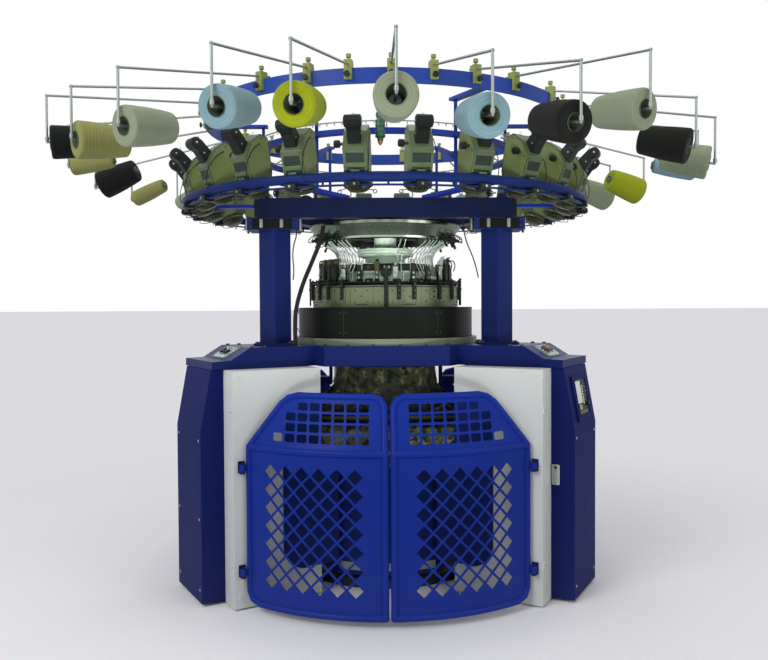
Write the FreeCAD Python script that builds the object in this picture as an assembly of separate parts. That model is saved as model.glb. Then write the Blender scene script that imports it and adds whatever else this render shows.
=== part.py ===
import FreeCAD, Part
import math
import os

# Circular knitting machine on a three-legged stand.
# Millimetres, +Z up, the origin on the floor under the machine's vertical axis.
# The operator stands at -Y. Azimuths are degrees anticlockwise from +X, seen from above.

os.makedirs("parts", exist_ok=True)
V = FreeCAD.Vector
UP = V(0, 0, 1)

# ---- driving dimensions -------------------------------------------------------------
RUN_GAP = 0.05            # radial running fit of a shaft in its bore
SEAT_GAP = 0.3            # clearance between curved faces that seat on each other
LEG_AZIMUTHS = (210, 330, 90)
BAY_TURNS = (0, 120, 240)

BED_TOP = 980
BED_THICK = 80
BED_INRADIUS = 430        # from the axis to each flat front face of the bed
BED_HOLE_R = 256
WING_HALF = 165           # half the width of a wing of the bed
WING_END = 861
WING_DROP = 48            # how far the wing's outer top lies below the bed's top
WING_SLOPE_IN = 708
WING_SLOPE_OUT = 788

FOOT_H = 12
FOOT_R = 60
LEG_HALF = 152
LEG_INNER = 452
LEG_SPLIT = 800           # radius where the cast leg ends and its cover starts
LEG_WALL = 10
COVER_END = 904
COVER_WAIST_Z = 664
COVER_WALL = 3

SIDE_FACE = 255           # distance of the pale side covers from the leg's middle plane
SIDE_END = 812
SIDE_SHEET = 3
SIDE_BOTTOM = 6

GATE_R = 806              # centre radius of the gates' tube frame
GATE_TOP_R = 700
GATE_TUBE_R = 12.5
GATE_BOTTOM_Z = 38
GATE_WAIST_Z = 617
GATE_TOP_Z = 807
GATE_EDGE = 15.5          # from the bay's middle plane to the inner tube's centre
GATE_SIDE = 518.6         # from the bay's middle plane to the outer tube's centre
GATE_TOP_SIDE = 375
GATE_CORNER_R = 40
GATE_SHEET = 3
MESH_PITCH = 67
MESH_HOLE = 39
MESH_COLUMNS = 6
MESH_ROWS = 7
HINGE_RADIUS = 784        # radial place of the gates' hinge pins on their leg
HINGE_OFFSET = 275
HINGE_HEIGHTS = (150, 540)
HINGE_PIN_R = 6
HINGE_LUG_R = 12
HINGE_LUG_H = 24
HINGE_EAR_H = 10

COLUMN_R = 532
COLUMN_SIDE = 100
COLUMN_WALL = 6
COLUMN_PLATE = (208, 150, 50)
FRAME_BOTTOM = 1500
FRAME_H = 80
FRAME_IN = 270
FRAME_OUT = 330
FRAME_CORNER_R = 610

RING_R = 866              # feeder ring
RING_TUBE_R = 17
RING_Z = 1577
RAIL_Z = 1546
SPOKE_AZIMUTHS = (0, 60, 120, 180, 240, 300)
SPOKE_W = 40
SPOKE_H = 14
FEEDERS = 24
FEEDER_W = 80
DRUM_R = 50
DRUM_H = 30
FEEDER_LEAN = 21          # tilt of a feeder's drum from the vertical

POST_R = 540
POST_ROD_R = 7
GUIDE_BAND = (547, 577)
GUIDE_BAND_Z = 1790
GUIDE_BAND_H = 18
EYE_RING_R = 590
EYE_RING_Z = 1830
EYE_WIRE_R = 2.5

CREEL_R = 780
CREEL_BAND = 8
CREEL_BOTTOM = 1914
CREEL_H = 55
ARM_Z = 1982
ARM_ROD_R = 4.5
ARM_TAIL = 40
ARM_DROP = 180
CONE_LENGTH = 180
CONE_LARGE = (65, 42)     # base and nose radius of a full cone
CONE_SMALL = (38, 28)
CONE_BORE = (27, 15)
LAMP_AZIMUTH = -91.9

GEAR_MODULE = 4
GEAR_TEETH = 140
PINION_TEETH = 20
GEAR_H = 25
BAND_R = 386
BAND_WALL = 6
BAND_BOTTOM = 1007
BAND_TOP = 1135
SEAT_RING_R = 407
CYLINDER_R = 254
CYLINDER_WALL = 18
CYLINDER_TOP = 1236
CAM_RING_R = 323
CAM_RING_IN = 259
CAM_TOP = 1225
GUIDE_PLATE_R = 300
SHAFT_R = 30
DIAL_R = 246
DIAL_Z = 1237
DISC_R = 336
DISC_Z = 1480
DISC_H = 12

ROTOR_R = 430             # sweep of the take-down frame
ROTOR_HALF = 372
ROLLER_R = 30
ROLLER_Z = 640
ROLL_R = 100
ROLL_Z = 300
FABRIC_R = 221
FABRIC_TOP = 975
FABRIC_FLAT = 345
CARRIER_Z = 792           # underside of the level arms that carry the side plates
CARRIER_H = 34

MOTOR_PLACE = 640
MOTOR_R = 90
PULLEY_Z = 850
PULLEY_H = 34
SHAFT_PULLEY_R = 50
MOTOR_PULLEY_R = 30
BELT_THICK = 6

# One row per creel arm: place of its clamp in degrees from the front, swing and rise of
# the arm in degrees, its length, tilt of its spindle, and the cone that it carries.
CREEL = (
    (1, -1, -8, 600, 4, "pale_green", CONE_LARGE),
    (12, 0, -13, 600, 12, "pale_blue", CONE_LARGE),
    (24, 0, -13, 600, 14, "charcoal", CONE_LARGE),
    (37, -3, -6, 600, 8, "pale_green", CONE_LARGE),
    (56, 6, -10, 545, 14, "charcoal", CONE_LARGE),
    (72, -5, -11, 600, 12, "pale_green", CONE_LARGE),
    (86.5, -1, -8, 600, 10, "pale_blue", CONE_SMALL),
    (110, -6, -10, 600, 18, "lime", CONE_LARGE),
    (126, -20, -10, 600, 14, "pale_green", CONE_LARGE),
    (142, 0, -9, 600, 12, "tan", CONE_LARGE),
    (157, 0, -9, 600, 12, "pale_blue", CONE_LARGE),
    (172, 0, -9, 600, 12, "pale_green", CONE_LARGE),
    (-172, 0, -9, 600, 12, "lime", CONE_LARGE),
    (-158, 0, -9, 600, 12, "charcoal", CONE_LARGE),
    (-146, 0, -9, 600, 12, "tan", CONE_LARGE),
    (-133, 20, -10, 600, 18, "pale_green", CONE_SMALL),
    (-119, 22, -12, 600, 20, "tan", CONE_SMALL),
    (-105, 18, -10, 605, 22, "charcoal", CONE_LARGE),
    (-87, 1, -5, 600, 10, "tan", CONE_SMALL),
    (-71, 0, -2, 612, 4, "charcoal", CONE_LARGE),
    (-54, 4, -9, 590, 4, "tan", CONE_LARGE),
    (-36, -4, -10, 600, 8, "pale_green", CONE_LARGE),
    (-21, -2, -9, 600, 12, "pale_blue", CONE_LARGE),
    (-10, -4, -10, 600, 12, "lime", CONE_LARGE),
)

BED_BOTTOM = BED_TOP - BED_THICK
LEG_TOP = BED_BOTTOM
COVER_TOP = LEG_TOP - 2
FRAME_TOP = FRAME_BOTTOM + FRAME_H
GEAR_Z = BED_TOP + SEAT_GAP
NECK_BOTTOM = BED_BOTTOM - 4
CREEL_TOP = CREEL_BOTTOM + CREEL_H


# ---- helpers ------------------------------------------------------------------------
def save(node, *solids):
    """Writes one node from its separate solids."""
    shape = solids[0] if len(solids) == 1 else Part.makeCompound(list(solids))
    shape.exportStep("parts/" + node + ".step")


def fuse(*solids):
    whole = solids[0].multiFuse(list(solids[1:])) if len(solids) > 1 else solids[0]
    return whole.removeSplitter()


def box(x0, x1, y0, y1, z0, z1):
    return Part.makeBox(x1 - x0, y1 - y0, z1 - z0, V(x0, y0, z0))


def rod(start, end, radius):
    return Part.makeCylinder(radius, (end - start).Length, start, end - start)


def ring(inner, outer, z0, z1):
    disc = Part.makeCylinder(outer, z1 - z0, V(0, 0, z0))
    if inner <= 0:
        return disc
    return disc.cut(Part.makeCylinder(inner, z1 - z0 + 2, V(0, 0, z0 - 1)))


def at(radius, azimuth, z=0.0):
    turn = math.radians(azimuth)
    return V(radius * math.cos(turn), radius * math.sin(turn), z)


def turned(shape, degrees):
    copy = shape.copy()
    copy.rotate(V(0, 0, 0), UP, degrees)
    return copy


def flipped(shape):
    return shape.mirror(V(0, 0, 0), V(1, 0, 0))


def upright(points, y0, y1):
    """A prism of an outline in X and Z, from y0 to y1."""
    corners = [V(x, y0, z) for x, z in points]
    face = Part.Face(Part.makePolygon(corners + corners[:1]))
    return face.extrude(V(0, y1 - y0, 0))


def flat(points, z0, z1):
    """A prism of an outline in X and Y, from z0 to z1."""
    corners = [V(x, y, z0) for x, y in points]
    face = Part.Face(Part.makePolygon(corners + corners[:1]))
    return face.extrude(V(0, 0, z1 - z0))


def revolved(points):
    """A solid turned about Z from an outline in radius and Z."""
    corners = [V(r, 0, z) for r, z in points]
    face = Part.Face(Part.makePolygon(corners + corners[:1]))
    return face.revolve(V(0, 0, 0), UP, 360)


def round_edges_along(shape, direction, radius):
    """Rounds every straight edge that runs along direction."""
    chosen = []
    for edge in shape.Edges:
        if isinstance(edge.Curve, Part.Line) and edge.Curve.Direction.cross(direction).Length < 1e-6:
            chosen.append(edge)
    return shape.makeFillet(radius, chosen)


def bent_tube(points, radius):
    """A tube of straight runs and tangent arcs, each as large as its two runs allow."""
    edges = []
    here = points[0]
    for index in range(1, len(points) - 1):
        before = points[index - 1] - points[index]
        after = points[index + 1] - points[index]
        half_turn = (math.pi - before.getAngle(after)) / 2
        trim = 0.45 * min(before.Length, after.Length)
        bend = trim / math.tan(half_turn)
        print("bend radius", round(bend, 1))
        start = points[index] + before.normalize() * trim
        end = points[index] + after.normalize() * trim
        inward = (before + after).normalize()
        centre = points[index] + inward * (bend / math.cos(half_turn))
        middle = centre - inward * bend
        edges.append(Part.LineSegment(here, start).toShape())
        edges.append(Part.Arc(start, middle, end).toShape())
        here = end
    edges.append(Part.LineSegment(here, points[-1]).toShape())
    path = Part.Wire(edges)
    profile = Part.Wire(Part.Circle(points[0], points[1] - points[0], radius).toShape())
    tube = path.makePipeShell([profile], True, False)
    print("cord length", round(path.Length), "volume ratio",
          round(tube.Volume / (math.pi * radius ** 2 * path.Length), 4))
    return tube


def spur(teeth, height, bore, offset=0.0):
    """A spur gear with flat-sided teeth, centred on Z, its first tooth at that offset."""
    pitch_r = GEAR_MODULE * teeth / 2
    root_r = pitch_r - 1.15 * GEAR_MODULE
    tip_r = pitch_r + 0.8 * GEAR_MODULE
    root_half = 0.86 * GEAR_MODULE / root_r
    tip_half = 0.32 * GEAR_MODULE / tip_r
    outline = []
    for tooth in range(teeth):
        middle = math.radians(offset) + 2 * math.pi * tooth / teeth
        for radius, turn in ((root_r, -root_half), (tip_r, -tip_half), (tip_r, tip_half), (root_r, root_half)):
            outline.append((radius * math.cos(middle + turn), radius * math.sin(middle + turn)))
    return flat(outline, 0, height).cut(Part.makeCylinder(bore, height + 2, V(0, 0, -1)))


# ---- stand --------------------------------------------------------------------------
def base_plate():
    """The floor frame: a ring round the take-down's foot bearing, tied to the three legs."""
    body = ring(330, 400, 0, 40)
    hub = fuse(ring(0, 110, 0, 40), ring(0, 45, 40, 70))
    arms = [turned(box(90, LEG_INNER, -45, 45, 0, 30), azimuth) for azimuth in LEG_AZIMUTHS]
    bore = Part.makeCylinder(20 + RUN_GAP, 60, V(0, 0, 20))
    return fuse(body, hub, *arms).cut(bore)


def leg(has_window):
    """A closed box leg. The rear one has a window for the belt near the top of its inner end."""
    outer = box(LEG_INNER, LEG_SPLIT, -LEG_HALF, LEG_HALF, FOOT_H, LEG_TOP)
    inside = box(LEG_INNER + LEG_WALL, LEG_SPLIT - LEG_WALL, -LEG_HALF + LEG_WALL, LEG_HALF - LEG_WALL,
                 FOOT_H + LEG_WALL, LEG_TOP - LEG_WALL)
    hollow = outer.cut(inside)
    if not has_window:
        return hollow
    window = box(LEG_INNER - 1, LEG_INNER + LEG_WALL + 1, -120, 120, PULLEY_Z - 25, LEG_TOP - LEG_WALL)
    return hollow.cut(window)


def leg_cover():
    """The sheet cover of a leg's outer end, its top half leaning inwards."""
    lean = WING_END
    outer = upright(((LEG_SPLIT + SEAT_GAP, FOOT_H), (COVER_END, FOOT_H), (COVER_END, COVER_WAIST_Z),
                     (lean, COVER_TOP), (LEG_SPLIT + SEAT_GAP, COVER_TOP)), -LEG_HALF, LEG_HALF)
    w = COVER_WALL
    inner = upright(((LEG_SPLIT - 1, FOOT_H + w), (COVER_END - w, FOOT_H + w), (COVER_END - w, COVER_WAIST_Z - 1),
                     (lean - w, COVER_TOP - w), (LEG_SPLIT - 1, COVER_TOP - w)), -LEG_HALF + w, LEG_HALF - w)
    return outer.cut(inner)


def side_cover(side):
    """A pale sheet-metal tray that stands on one side face of a leg."""
    near = LEG_HALF + SEAT_GAP
    w = SIDE_SHEET
    outer = box(LEG_INNER, SIDE_END, near, SIDE_FACE, SIDE_BOTTOM, COVER_TOP)
    inner = box(LEG_INNER + w, SIDE_END - w, near - 1, SIDE_FACE - w, SIDE_BOTTOM + w, COVER_TOP - w)
    tray = outer.cut(inner)
    return tray if side > 0 else tray.mirror(V(0, 0, 0), V(0, 1, 0))


def hinge_bracket(side, height):
    """A plate on the side cover with an ear below the gate's lug and the pin through it."""
    plate = box(HINGE_RADIUS - 12, HINGE_RADIUS + 12, SIDE_FACE, SIDE_FACE + 4, height - 22, height + 22)
    ear = box(HINGE_RADIUS - 10, HINGE_RADIUS + 10, SIDE_FACE + 4, HINGE_OFFSET,
              height - HINGE_LUG_H / 2 - SEAT_GAP - HINGE_EAR_H, height - HINGE_LUG_H / 2 - SEAT_GAP)
    knuckle = Part.makeCylinder(10, HINGE_EAR_H, V(HINGE_RADIUS, HINGE_OFFSET, ear.BoundBox.ZMin))
    pin = Part.makeCylinder(HINGE_PIN_R, HINGE_LUG_H + 14, V(HINGE_RADIUS, HINGE_OFFSET, ear.BoundBox.ZMin + 2))
    bracket = fuse(plate, ear, knuckle, pin)
    return bracket if side > 0 else bracket.mirror(V(0, 0, 0), V(0, 1, 0))


def bed():
    """The hexagonal bed plate with a wing over each leg."""
    reach = BED_INRADIUS / math.cos(math.radians(30))
    hexagon = [at(reach, azimuth) for azimuth in range(0, 360, 60)]
    body = flat([(p.x, p.y) for p in hexagon], BED_BOTTOM, BED_TOP)
    wing = upright(((200, BED_BOTTOM), (WING_END, BED_BOTTOM), (WING_END, BED_TOP - WING_DROP - 2),
                    (WING_SLOPE_OUT, BED_TOP - WING_DROP), (WING_SLOPE_IN, BED_TOP), (200, BED_TOP)),
                   -WING_HALF, WING_HALF)
    whole = fuse(body, *[turned(wing, azimuth) for azimuth in LEG_AZIMUTHS])
    hole = Part.makeCylinder(BED_HOLE_R, BED_THICK + 2, V(0, 0, BED_BOTTOM - 1))
    shaft_hole = Part.makeCylinder(16 + RUN_GAP, BED_THICK + 2, V(0, shaft_distance(), BED_BOTTOM - 1))
    whole = whole.cut(hole).cut(shaft_hole)
    for azimuth in LEG_AZIMUTHS[:2]:
        for place in (-1, 1):
            whole = whole.cut(button_bore(azimuth, place))
    return whole


# ---- switches -----------------------------------------------------------------------
SLOPE_ANGLE = math.degrees(math.atan2(WING_DROP, WING_SLOPE_OUT - WING_SLOPE_IN))
PANEL_THICK = 3
BUTTON_R = 11
BUTTON_TRAVEL = 3


def on_slope(shape, azimuth):
    """Puts a shape that is drawn about the origin, facing +Z, on a wing's sloping face."""
    copy = shape.copy()
    copy.rotate(V(0, 0, 0), V(0, 1, 0), SLOPE_ANGLE)
    copy.translate(V((WING_SLOPE_IN + WING_SLOPE_OUT) / 2, 0, BED_TOP - WING_DROP / 2))
    return turned(copy, azimuth)


def button_bore(azimuth, place):
    return on_slope(Part.makeCylinder(BUTTON_R + 1, 20, V(0, place * 32, -16)), azimuth)


def switch_panel(azimuth):
    plate = box(-38, 38, -75, 75, 0, PANEL_THICK)
    for place in (-1, 1):
        plate = plate.cut(Part.makeCylinder(BUTTON_R + RUN_GAP, 10, V(0, place * 32, -2)))
    return on_slope(plate, azimuth)


def button(azimuth, place, head_r, head_h):
    stem = Part.makeCylinder(BUTTON_R, PANEL_THICK + BUTTON_TRAVEL + 6.5, V(0, place * 32, -6))
    head = Part.makeCylinder(head_r, head_h, V(0, place * 32, PANEL_THICK + BUTTON_TRAVEL + 0.5))
    head = head.makeFillet(head_h * 0.3, [head.Edges[0]])
    return on_slope(fuse(stem, head), azimuth)


# ---- gates --------------------------------------------------------------------------
def gate_outline_low():
    """The lower sheet's outline as seen from the front, its outer bottom corner round."""
    corner = V(GATE_SIDE - GATE_CORNER_R, 0, GATE_BOTTOM_Z + GATE_CORNER_R)
    bend = math.radians(45)
    middle = corner + V(math.sin(bend), 0, -math.cos(bend)) * GATE_CORNER_R
    p = [V(GATE_EDGE, 0, GATE_WAIST_Z), V(GATE_EDGE, 0, GATE_BOTTOM_Z),
         V(corner.x, 0, GATE_BOTTOM_Z), V(GATE_SIDE, 0, corner.z), V(GATE_SIDE, 0, GATE_WAIST_Z)]
    edges = [Part.LineSegment(p[0], p[1]), Part.LineSegment(p[1], p[2]), Part.Arc(p[2], middle, p[3]),
             Part.LineSegment(p[3], p[4]), Part.LineSegment(p[4], p[0])]
    return Part.Face(Part.Wire([edge.toShape() for edge in edges]))


def gate_point(radius, x, z):
    return V(x, -math.sqrt(radius ** 2 - x ** 2), z)


def arc_tube(radius, x0, x1, z):
    """A level tube round the machine's axis between two distances from the bay's middle."""
    a = gate_point(radius, x0, z)
    b = gate_point(radius, x1, z)
    half = (math.asin(x0 / radius) + math.asin(x1 / radius)) / 2
    middle = V(radius * math.sin(half), -radius * math.cos(half), z)
    path = Part.Wire(Part.Arc(a, middle, b).toShape())
    tangent = V(-a.y, a.x, 0)
    profile = Part.Wire(Part.Circle(a, tangent, GATE_TUBE_R).toShape())
    return path.makePipeShell([profile], True, False)


def ball(point):
    return Part.makeSphere(GATE_TUBE_R, point)


def gate_top_corner(side, start):
    """Three points round a top corner of the gate, from its upright tube to its top tube."""
    corner = gate_point(GATE_TOP_R, side, GATE_TOP_Z)
    inward = GATE_CORNER_R if side < GATE_TOP_SIDE / 2 else -GATE_CORNER_R
    low = corner + (start - corner).normalize() * GATE_CORNER_R
    high = gate_point(GATE_TOP_R, side + inward, GATE_TOP_Z)
    return low, (low + high) * 0.3 + corner * 0.4, high


def gate_frame():
    """The gate's bent tube with its waist tube."""
    low_in = gate_point(GATE_R, GATE_EDGE, GATE_BOTTOM_Z)
    waist_in = gate_point(GATE_R, GATE_EDGE, GATE_WAIST_Z)
    waist_out = gate_point(GATE_R, GATE_SIDE, GATE_WAIST_Z)
    in_low, in_mid, in_high = gate_top_corner(GATE_EDGE, waist_in)
    out_low, out_mid, out_high = gate_top_corner(GATE_TOP_SIDE, waist_out)
    bend_low = gate_point(GATE_R, GATE_SIDE - GATE_CORNER_R, GATE_BOTTOM_Z)
    bend_high = gate_point(GATE_R, GATE_SIDE, GATE_BOTTOM_Z + GATE_CORNER_R)
    bend_mid = gate_point(GATE_R, GATE_SIDE - GATE_CORNER_R * 0.293, GATE_BOTTOM_Z + GATE_CORNER_R * 0.293)
    pieces = [rod(low_in, waist_in, GATE_TUBE_R), rod(waist_in, in_low, GATE_TUBE_R),
              rod(in_low, in_mid, GATE_TUBE_R), rod(in_mid, in_high, GATE_TUBE_R),
              rod(bend_high, waist_out, GATE_TUBE_R), rod(waist_out, out_low, GATE_TUBE_R),
              rod(out_low, out_mid, GATE_TUBE_R), rod(out_mid, out_high, GATE_TUBE_R),
              rod(bend_low, bend_mid, GATE_TUBE_R), rod(bend_mid, bend_high, GATE_TUBE_R),
              arc_tube(GATE_R, GATE_EDGE, GATE_SIDE - GATE_CORNER_R, GATE_BOTTOM_Z),
              arc_tube(GATE_R, GATE_EDGE, GATE_SIDE, GATE_WAIST_Z),
              arc_tube(GATE_TOP_R, GATE_EDGE + GATE_CORNER_R, GATE_TOP_SIDE - GATE_CORNER_R, GATE_TOP_Z)]
    for point in (low_in, waist_in, waist_out, in_low, in_mid, in_high, out_low, out_mid, out_high,
                  bend_low, bend_high, bend_mid):
        pieces.append(ball(point))
    return pieces


def mesh_cutters():
    """The diamond holes of the lower sheet: full rows with shorter rows between them."""
    cutters = []
    first_turn = 121 / GATE_R
    first_z = 134
    for row in range(2 * MESH_ROWS - 1):
        shift = row % 2
        for column in range(MESH_COLUMNS - shift):
            turn = first_turn + (column + shift / 2) * MESH_PITCH / GATE_R
            hole = box(-MESH_HOLE / 2, MESH_HOLE / 2, -20, 20, -MESH_HOLE / 2, MESH_HOLE / 2)
            hole.rotate(V(0, 0, 0), V(0, 1, 0), 45)
            hole.translate(V(0, -GATE_R, first_z + row * MESH_PITCH / 2))
            cutters.append(turned(hole, math.degrees(turn)))
    return Part.makeCompound(cutters)


def grille_cutters():
    """The square holes of the upper sheet, as far out as its slanting edge leaves room."""
    columns = 8
    rows = 4
    first_x = 90
    pitch_x = 45
    pitch_z = 36
    hole_x = 37
    hole_z = 28
    slant = (GATE_SIDE - GATE_TOP_SIDE) / (GATE_TOP_Z - GATE_WAIST_Z)
    cutters = []
    for row in range(rows):
        z = GATE_WAIST_Z + 44 + row * pitch_z
        for column in range(columns):
            x = first_x + column * pitch_x
            if x + hole_x > GATE_SIDE - slant * (z - GATE_WAIST_Z) - 20:
                continue
            hole = box(x - hole_x / 2, x + hole_x / 2, -GATE_R - 20, -GATE_TOP_R / 2, z - hole_z / 2, z + hole_z / 2)
            cutters.append(round_edges_along(hole, V(0, 1, 0), 6))
    return Part.makeCompound(cutters)


def gate_sheets():
    """The bent sheet below the waist and the leaning sheet above it."""
    front = V(0, -GATE_R - 20, 0)
    low_prism = gate_outline_low().extrude(front)
    shell = ring(GATE_R - GATE_SHEET / 2, GATE_R + GATE_SHEET / 2, GATE_BOTTOM_Z, GATE_WAIST_Z)
    low = shell.common(low_prism).cut(mesh_cutters())
    height = GATE_TOP_Z - GATE_WAIST_Z
    half = GATE_SHEET / 2
    cone = Part.makeCone(GATE_R + half, GATE_TOP_R + half, height, V(0, 0, GATE_WAIST_Z))
    cone = cone.cut(Part.makeCone(GATE_R - half, GATE_TOP_R - half, height, V(0, 0, GATE_WAIST_Z)))
    waist_in = gate_point(GATE_R, GATE_EDGE, GATE_WAIST_Z)
    waist_out = gate_point(GATE_R, GATE_SIDE, GATE_WAIST_Z)
    outer = gate_top_corner(GATE_TOP_SIDE, waist_out)
    inner = gate_top_corner(GATE_EDGE, waist_in)
    outline = [(GATE_EDGE, GATE_WAIST_Z), (GATE_SIDE, GATE_WAIST_Z)] + [(point.x, point.z) for point in outer]
    outline += [(point.x, point.z) for point in reversed(inner)]
    high_prism = upright(outline, -GATE_R - 20, -100)
    high = cone.common(high_prism).cut(grille_cutters())
    return [low, high]


def gate_lug(height):
    """The hinge lug on the gate's outer tube."""
    pin = leg_point(HINGE_RADIUS, -HINGE_OFFSET, height - HINGE_LUG_H / 2)
    tube = gate_point(GATE_R, GATE_SIDE, height - HINGE_LUG_H / 2)
    eye = Part.makeCylinder(HINGE_LUG_R, HINGE_LUG_H, pin)
    across = tube - pin
    web = box(0, across.Length, -4, 4, 0, HINGE_LUG_H)
    web.rotate(V(0, 0, 0), UP, math.degrees(math.atan2(across.y, across.x)))
    web.translate(pin)
    bore = Part.makeCylinder(HINGE_PIN_R + RUN_GAP, HINGE_LUG_H + 2, pin - V(0, 0, 1))
    return fuse(eye, web), bore


def leg_point(radial, tangential, z):
    """A point in the right front leg's own directions."""
    azimuth = math.radians(LEG_AZIMUTHS[1])
    return V(radial * math.cos(azimuth) - tangential * math.sin(azimuth),
             radial * math.sin(azimuth) + tangential * math.cos(azimuth), z)


def gate():
    """The right gate of the front bay: tube frame, two sheets and two hinge lugs."""
    pieces = gate_frame() + gate_sheets()
    bores = []
    for height in HINGE_HEIGHTS:
        lug, bore = gate_lug(height)
        pieces.append(lug)
        bores.append(bore)
    whole = pieces[0].multiFuse(pieces[1:])
    for bore in bores:
        whole = whole.cut(bore)
    return whole


# ---- columns, top frame and rings ---------------------------------------------------
def column(azimuth):
    """A square column set corner to the front, with a foot plate and a head block."""
    centre = at(COLUMN_R, azimuth)
    half = COLUMN_SIDE / 2
    wide, deep, high = COLUMN_PLATE
    tube = box(-half, half, -half, half, BED_TOP + 10, FRAME_BOTTOM - high)
    tube = round_edges_along(tube, UP, 14)
    hollow = box(-half + COLUMN_WALL, half - COLUMN_WALL, -half + COLUMN_WALL, half - COLUMN_WALL,
                 BED_TOP + 9, FRAME_BOTTOM - high + 1)
    tube = tube.cut(hollow)
    tube.rotate(V(0, 0, 0), UP, 45)
    foot = box(-80, 80, -75, 75, BED_TOP, BED_TOP + 10)
    head = box(-wide / 2, wide / 2, -deep / 2, deep / 2, FRAME_BOTTOM - high, FRAME_BOTTOM)
    whole = fuse(tube, foot, head)
    whole.translate(centre)
    return whole


def triangle(inradius, z0, z1):
    reach = 2 * inradius
    corners = [at(reach, azimuth) for azimuth in LEG_AZIMUTHS]
    return flat([(p.x, p.y) for p in corners], z0, z1)


def top_frame():
    """Three box beams on the columns, with ribs to the hub that carries the head."""
    wall = 8
    trim = Part.makeCylinder(FRAME_CORNER_R, FRAME_H, V(0, 0, FRAME_BOTTOM))
    beams = triangle(FRAME_OUT, FRAME_BOTTOM, FRAME_TOP).common(trim)
    beams = beams.cut(triangle(FRAME_IN, FRAME_BOTTOM - 1, FRAME_TOP + 1))
    hollow = triangle(FRAME_OUT - wall, FRAME_BOTTOM + wall, FRAME_TOP - wall)
    hollow = hollow.common(Part.makeCylinder(FRAME_CORNER_R - wall, FRAME_H, V(0, 0, FRAME_BOTTOM)))
    hollow = hollow.cut(triangle(FRAME_IN + wall, FRAME_BOTTOM, FRAME_TOP))
    beams = beams.cut(hollow)
    hub = ring(SHAFT_R + SEAT_GAP, 110, FRAME_BOTTOM, FRAME_BOTTOM + 60)
    ribs = [turned(box(100, FRAME_IN + 4, -30, 30, FRAME_BOTTOM, FRAME_BOTTOM + 50), azimuth)
            for azimuth in (30, 150, 270)]
    return fuse(beams, hub, *ribs)


def feeder_ring():
    """The round tube that carries the feeders, with the flat wiring rail on studs below."""
    tube = Part.makeTorus(RING_R, RING_TUBE_R, V(0, 0, RING_Z))
    rail = ring(RING_R - 8, RING_R + 8, RAIL_Z, RAIL_Z + 5)
    studs = [Part.makeCylinder(4, RING_Z - RAIL_Z - 4, at(RING_R, 15 * k, RAIL_Z)) for k in range(24)]
    return fuse(tube, rail, *studs)


def spokes():
    """Flat bars on the top frame that reach out to the feeder ring."""
    seat = Part.makeTorus(RING_R, RING_TUBE_R + SEAT_GAP, V(0, 0, RING_Z))
    bar = box(FRAME_OUT, RING_R - 8, -SPOKE_W / 2, SPOKE_W / 2, FRAME_TOP, FRAME_TOP + SPOKE_H)
    return [turned(bar, azimuth).cut(seat) for azimuth in SPOKE_AZIMUTHS]


def feeder_housing(azimuth):
    """A feeder's moulded housing, leaning outwards, with the jaw that clips to the ring."""
    profile = ((-26, -17), (15, 95), (-15, 157), (-57, 188), (-95, 180), (-118, 60), (-112, 16))
    body = upright([(RING_R + r, RING_Z + z) for r, z in profile], -FEEDER_W / 2, FEEDER_W / 2)
    body = round_edges_along(body, V(0, 1, 0), 6)
    for low in (0.18, 0.58):
        body = body.cut(face_recess(low, low + 0.27))
    jaw = box(RING_R - 40, RING_R, -15, 15, RING_Z - 10, RING_Z + 24)
    seat = Part.makeTorus(RING_R, RING_TUBE_R + SEAT_GAP, V(0, 0, RING_Z))
    return turned(fuse(body, jaw).cut(seat), azimuth)


def face_recess(low, high):
    """A shallow recess across the housing's outer face, between two shares of its height."""
    foot = V(RING_R - 26, 0, RING_Z - 17)
    run = V(41, 0, 112)
    depth = 5
    p0 = foot + run * low
    p1 = foot + run * high
    normal = V(run.z, 0, -run.x).normalize() * depth
    points = [(p.x, p.z) for p in (p0 - normal, p0 + normal, p1 + normal, p1 - normal)]
    return upright(points, -FEEDER_W / 2 + 8, FEEDER_W / 2 - 8)


def feeder_drum(azimuth):
    """The yarn wheel under a feeder's housing, on its leaning axis."""
    lean = math.radians(FEEDER_LEAN)
    down = V(-math.sin(lean), 0, -math.cos(lean))
    top = V(RING_R - 69, 0, RING_Z - 0.5) + down * SEAT_GAP
    neck = Part.makeCylinder(22, 4, top, down)
    wheel = Part.makeCylinder(DRUM_R, DRUM_H * 0.55, top + down * 4, down)
    rim = Part.makeCone(DRUM_R, DRUM_R * 0.7, DRUM_H * 0.45, top + down * (4 + DRUM_H * 0.55), down)
    return turned(fuse(neck, wheel, rim), azimuth)


def feeder_head(azimuth):
    """The black yarn tensioner on the upper outer face of a feeder."""
    profile = ((10.5, 105), (-12, 151.5), (28, 190), (48, 194), (66, 176), (58, 156), (40, 146))
    arm = upright([(RING_R + r, RING_Z + z) for r, z in profile], -22, 22)
    arm = round_edges_along(arm, V(0, 1, 0), 5)
    knob = Part.makeCylinder(20, 56, V(RING_R + 50, -28, RING_Z + 176), V(0, 1, 0))
    return turned(fuse(arm, knob), azimuth)


def guide_cage():
    """Six posts with the blue guide band round them."""
    band = ring(GUIDE_BAND[0] - 6, GUIDE_BAND[1], GUIDE_BAND_Z, GUIDE_BAND_Z + GUIDE_BAND_H)
    foot = FRAME_TOP + SPOKE_H
    posts = [Part.makeCylinder(POST_ROD_R, CREEL_BOTTOM + 22 - foot, at(POST_R, azimuth, foot))
             for azimuth in SPOKE_AZIMUTHS]
    return fuse(band, *posts)


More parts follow.
